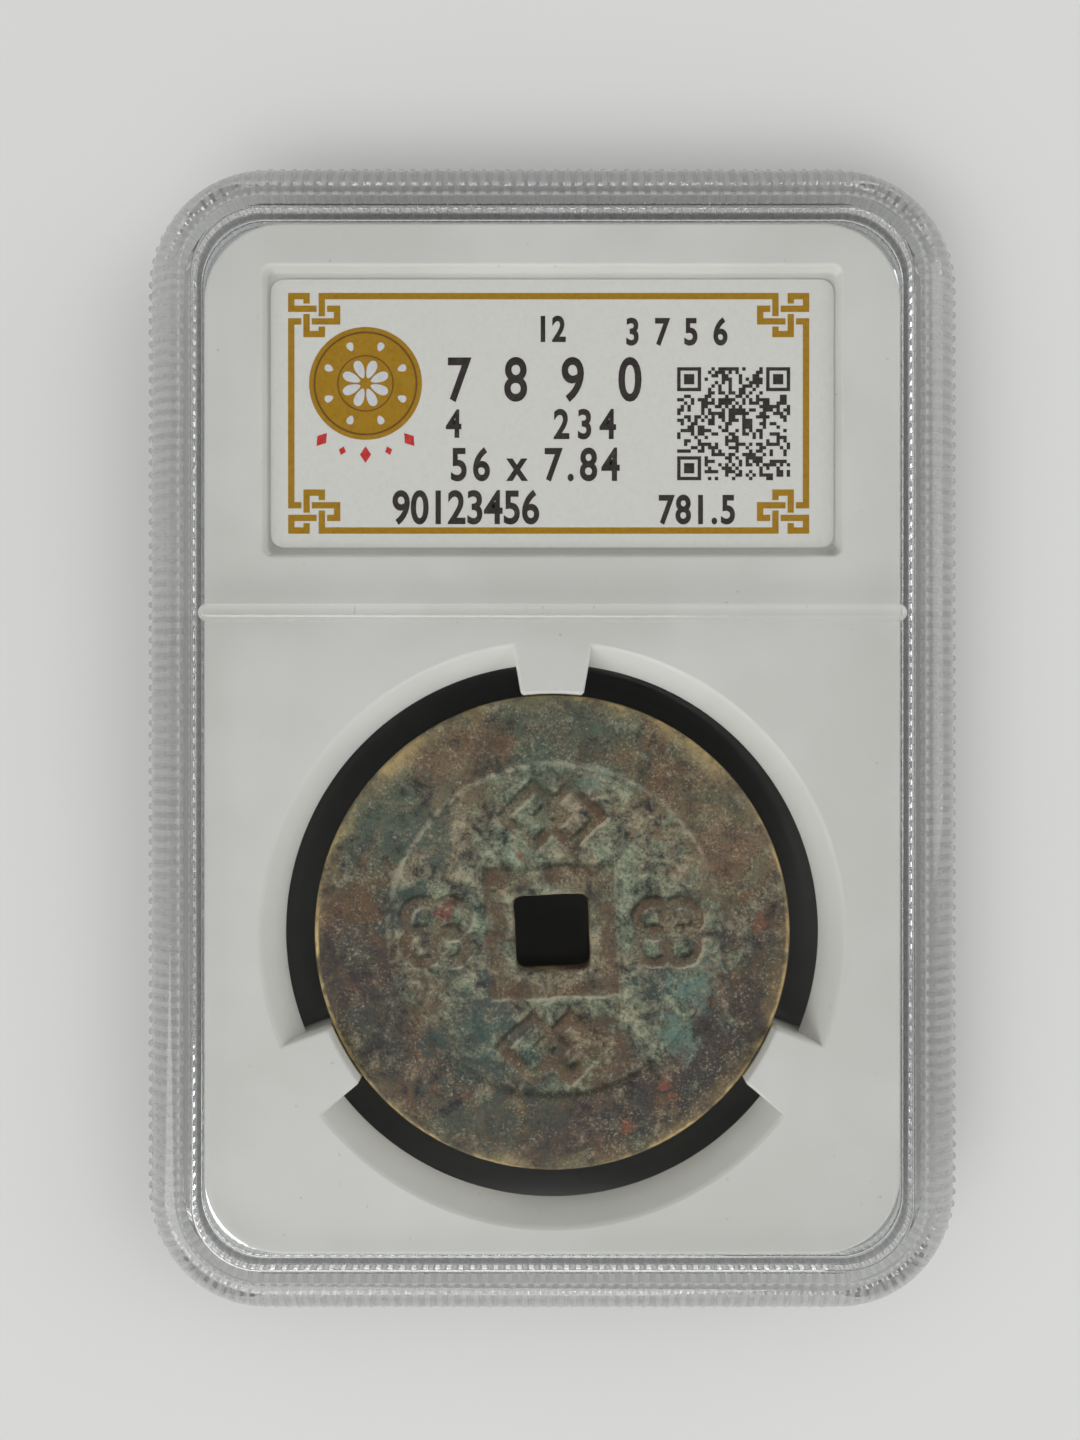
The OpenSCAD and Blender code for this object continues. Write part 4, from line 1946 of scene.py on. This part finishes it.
    def raised(
        self, x: np.ndarray, y: np.ndarray, uneven: dict[str, np.ndarray], motifs: bool
    ) -> list[np.ndarray]:
        """Works out how far points are raised over the field.

        Args:
            x: places across the coin, from its middle.
            y: places up the coin, from its middle.
            uneven: the uneven values of the points.
            motifs: whether this face has the four motifs.

        Returns:
            The share of the outer rim, and the share of the hole's rim and the motifs.
        """
        inner = self.radius - self.rim_w
        shift = np.hypot(x - self.field_shift[0], y - self.field_shift[1])
        jagged = 0.1 * uneven["swell"] + 0.05 * uneven["grain"]
        rim = ease(shift + 1.3 * jagged, inner - self.rim_soft, inner + self.rim_soft)
        edge = self.hole / 2 + self.hole_rim
        worn = np.clip(0.75 + 0.5 * uneven["wear"], 0.2, 1.0)
        soft = self.hole_soft
        inner_rim = worn * ease(1.2 * jagged - self.hole_away(x, y), -edge - soft, -edge + soft)
        if not motifs:
            return [rim, inner_rim]
        half = self.stroke_w / 2
        away = self.strokes(x, y) + 1.6 * jagged
        cut = worn * ease(-away, -half - self.stroke_soft, -half + self.stroke_soft)
        return [rim, np.maximum(inner_rim, cut)]

    @staticmethod
    def lobes(turn: np.ndarray, places: Sequence[Lobe]) -> np.ndarray:
        """Adds up soft stretches along the coin's edge.

        Args:
            turn: directions from the coin's middle in degrees.
            places: the direction, the half-width in degrees and the strength of each stretch.

        Returns:
            The sums.
        """
        away = [((turn - at + 180) % 360 - 180) / wide for at, wide, _ in places]
        return sum(power * np.exp(-a * a) for a, (_, _, power) in zip(away, places))

    def edge_wear(
        self, turn: np.ndarray, reach: np.ndarray, uneven: dict[str, np.ndarray]
    ) -> np.ndarray:
        """Works out the bright line and the gilt smears along the coin's outer edge.

        Args:
            turn: directions from the coin's middle in degrees.
            reach: distances from the coin's middle.
            uneven: the uneven values of the points.

        Returns:
            How far each point is worn.
        """
        swell, grain = uneven["swell"], uneven["grain"]
        bright = self.lobes(turn, self.bright_lobes)
        bright = np.clip(0.3 + bright + 0.3 * uneven["wear"], 0.15, 1.0)
        thin_line = bright * ease(reach + 0.09 * grain, self.radius - 0.42, self.radius - 0.14)
        gilt = 0.2 + self.lobes(turn, self.gilt_lobes)
        fringe = reach + 0.4 * swell + 0.2 * grain
        smear = 0.42 * gilt * ease(fringe, self.radius - 1.7, self.radius - 0.1)
        return np.maximum(thin_line, smear)

    def relief(self, x: np.ndarray, y: np.ndarray, motifs: bool) -> dict[str, np.ndarray]:
        """Works out the face of the coin.

        Args:
            x: places across the coin, from its middle.
            y: places up the coin, from its middle.
            motifs: whether this face has the four motifs.

        Returns:
            The depth below the rim, how far each point is field, stroke or worn, and its painted
            highlight (above 0) or painted shade (below 0) along the relief's edges.
        """
        reach = np.hypot(x, y)
        uneven = {
            "swell": self.rumple(x, y, size=2.9, layer=0.0, steps=4),
            "grain": self.rumple(x, y, size=0.62, layer=7.0, steps=3),
            "wear": self.rumple(x, y, size=3.6, layer=3.0, steps=3),
        }
        swell, grain = uneven["swell"], uneven["grain"]
        rim, strokes = self.raised(x, y, uneven, motifs)
        high = np.maximum(rim, strokes)
        behind = np.maximum(*self.raised(x - self.lean, y + self.lean, uneven, motifs))
        ahead = np.maximum(*self.raised(x + self.lean, y - self.lean, uneven, motifs))
        # painted highlight on the lower right foot of raised parts, painted shade on their upper left
        # foot
        lit = ease(behind - high, *self.slope_seen) - 0.9 * ease(ahead - high, *self.slope_seen)
        depth = self.field_depth * (1 - high) + self.least_depth
        depth = depth + self.swell_depth * swell + self.grain_depth * grain
        near = np.clip(reach - (self.radius - self.edge_round), 0.0, self.edge_round)
        depth = depth + self.edge_round - np.sqrt(self.edge_round ** 2 - near ** 2)
        bare = ease(self.hole_away(x, y) + 0.6 * grain, self.hole / 2 + 0.45, self.hole / 2 + 0.95)
        turn = np.degrees(np.arctan2(y, x))
        # painted highlight along the field's edge in the listed stretches
        lip = self.lobes(turn, self.lip_lobes) * np.clip(0.8 + 0.6 * uneven["wear"], 0.3, 1.0)
        lip = lip * (1 - abs(2 * rim - 1))
        return {
            "depth": np.maximum(depth, 0.0),
            "field": 1 - rim,
            "stroke": strokes * (1 - rim) * (0.3 + 0.7 * bare),
            "wear": self.edge_wear(turn, reach, uneven),
            # the painted highlight and painted shade of the relief's edges
            "edge": np.where(lip > 0.05, np.maximum(lit, lip), lit),
        }

    def face(self, rings: int, front: bool) -> tuple[list[list[int]], dict[str, np.ndarray]]:
        """Adds one face of the coin, from the hole to the edge.

        Args:
            rings: number of rows.
            front: whether it is the front face.

        Returns:
            The rows, and the values that the material reads.
        """
        angles = np.linspace(0, 2 * math.pi, self.across, endpoint=False)
        start = self.hole_reach(angles)
        shares = np.linspace(0, 1, rings)
        reach = start[None, :] * (1 - shares[:, None]) + self.radius * shares[:, None]
        x = (reach * np.cos(angles)).ravel()
        y = (reach * np.sin(angles)).ravel()
        values = self.relief(x, y, front)
        lip = np.clip(self.lip_round - (reach - start[None, :]), 0.0, self.lip_round).ravel()
        depth = values.pop("depth") + self.lip_round - np.sqrt(self.lip_round ** 2 - lip ** 2)
        z = self.top - depth if front else self.low + depth
        plan = np.stack([x, y], axis=1) + self.middle
        rows = []
        for k in range(rings):
            part = slice(k * self.across, (k + 1) * self.across)
            rows.append(self.soup.ring(plan[part], z[part]))
        self.soup.stack(rows)
        return rows, values

    def build(self) -> bpy.types.Object:
        """Builds the coin as one closed mesh with the values that its finish reads.

        Returns:
            The object.
        """
        front, front_values = self.face(self.front_rings, True)
        rear, rear_values = self.face(self.rear_rings, False)
        values = {key: np.concatenate([front_values[key], rear_values[key]]) for key in front_values}
        walls = 0
        for first, second in ((front[-1], rear[-1]), (rear[0], front[0])):
            high = np.array([self.soup.points[n] for n in first])
            low = np.array([self.soup.points[n] for n in second])
            rows = [first]
            for share in (0.25, 0.5, 0.75):
                between = high * (1 - share) + low * share
                rows.append(self.soup.ring(between[:, :2], between[:, 2]))
                walls += self.across
            rows.append(second)
            self.soup.stack(rows)
        fill = {"field": 0.0, "stroke": 0.2, "wear": 0.35, "edge": 0.0}
        kept = {key: np.concatenate([values[key], np.full(walls, rest)]) for key, rest in fill.items()}
        return self.soup.build("coin_cast", crease=80.0, values=kept)

    def dress(self, piece: bpy.types.Object) -> None:
        """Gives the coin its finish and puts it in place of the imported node."""
        finish = PatinaFinish((*self.middle.tolist(), self.top))
        dress(piece, finish.make(), "coin", "patinated_bronze")
        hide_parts("coin")


@dataclass(frozen=True)
class Studio:
    """Pale floor, soft lamps, dim sky overhead and the camera of the photograph."""

    image_h: float = 1440.0
    focal_px: float = 1106.0
    sensor_mm: float = 36.0
    camera_at: Point = (-0.92, 1.38, 89.2)
    floor_w: float = 9000.0
    floor_gap: float = 0.02
    key_at: Point = (-730.0, -1265.0, 1200.0)
    key_size: tuple[float, float] = (2457.0, 845.0)
    key_power: float = 23.6
    fill_at: Point = (678.0, 144.0, 420.0)
    fill_size: tuple[float, float] = (512.0, 512.0)
    fill_power: float = 1.6
    sky_low: float = 0.56
    sky_high: float = 0.86
    horizon: float = 0.88
    zenith: float = 0.06
    scattered: float = 0.5
    mirror_most: float = 1.5

    def camera(self) -> None:
        """Sets up the camera, which looks straight down with the label end up."""
        data = bpy.data.cameras.new("photo_camera")
        data.sensor_fit = "VERTICAL"
        data.sensor_height = self.sensor_mm
        data.lens = self.focal_px / self.image_h * self.sensor_mm
        data.clip_start = MM
        item = bpy.data.objects.new("photo_camera", data)
        item.location = Vector(self.camera_at) * MM
        bpy.context.scene.collection.objects.link(item)
        bpy.context.scene.camera = item

    def lamp(self, name: str, at: Point, size: tuple[float, float], power: float) -> None:
        """Adds a soft lamp that faces the slab.

        Args:
            name: its name.
            at: its place in millimetres.
            size: its width and height in millimetres.
            power: its power in watts.
        """
        data = bpy.data.lights.new(name, "AREA")
        data.shape = "RECTANGLE"
        data.size, data.size_y = size[0] * MM, size[1] * MM
        data.energy = power
        item = bpy.data.objects.new(name, data)
        item.location = Vector(at) * MM
        item.rotation_euler = (-Vector(at)).to_track_quat("-Z", "Y").to_euler()
        bpy.context.scene.collection.objects.link(item)

    def sky(self) -> None:
        """Sets up the even light from all round, dimmer overhead except after many reflections."""
        world = bpy.data.worlds.new("studio_sky")
        world.use_nodes = True
        bpy.context.scene.world = world
        nodes, links = world.node_tree.nodes, world.node_tree.links
        way = nodes.new("ShaderNodeTexCoord")
        split = nodes.new("ShaderNodeSeparateXYZ")
        grade = nodes.new("ShaderNodeMapRange")
        grade.interpolation_type = "SMOOTHSTEP"
        ends = (self.sky_low, self.sky_high, self.horizon, self.zenith)
        for key, value in zip(("From Min", "From Max", "To Min", "To Max"), ends):
            grade.inputs[key].default_value = value
        links.new(way.outputs["Generated"], split.inputs[0])
        links.new(split.outputs["Z"], grade.inputs["Value"])
        path = nodes.new("ShaderNodeLightPath")
        many = nodes.new("ShaderNodeMath")
        many.operation = "GREATER_THAN"
        many.inputs[1].default_value = self.mirror_most
        level = nodes.new("ShaderNodeMix")
        level.inputs[3].default_value = self.scattered
        links.new(path.outputs["Glossy Depth"], many.inputs[0])
        links.new(many.outputs[0], level.inputs[0])
        links.new(grade.outputs["Result"], level.inputs[2])
        links.new(level.outputs[0], nodes["Background"].inputs["Strength"])
        nodes["Background"].inputs["Color"].default_value = (1.0, 1.0, 1.0, 1.0)

    def floor(self) -> None:
        """Lays the floor just under the rim that the slab rests on."""
        half = self.floor_w / 2 * MM
        level = -self.floor_gap * MM
        mesh = bpy.data.meshes.new("studio_floor")
        ways = ((-1, -1), (1, -1), (1, 1), (-1, 1))
        mesh.from_pydata([(x * half, y * half, level) for x, y in ways], [], [(0, 1, 2, 3)])
        piece = bpy.data.objects.new("studio_floor", mesh)
        piece.data.materials.append(FloorFinish().make())
        bpy.context.scene.collection.objects.link(piece)

    def build(self) -> None:
        """Sets up the whole studio."""
        bpy.context.scene.view_settings.view_transform = "Standard"
        self.camera()
        self.floor()
        self.sky()
        self.lamp("key_lamp", self.key_at, self.key_size, self.key_power)
        self.lamp("fill_lamp", self.fill_at, self.fill_size, self.fill_power)


def main() -> None:
    """Builds the slab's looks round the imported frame."""
    logging.basicConfig(level=logging.INFO, format="%(name)s %(message)s")
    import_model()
    Studio().build()
    shells = [
        ClearShell(Half.REAR, "rear_shell", "rear", "clear_rear"),
        ClearShell(Half.FRONT, "front_shell", "front", "clear_front"),
    ]
    for part in [*shells, Insert(), Label(), Coin()]:
        part.dress(part.build())


if __name__ == "__main__":
    main()
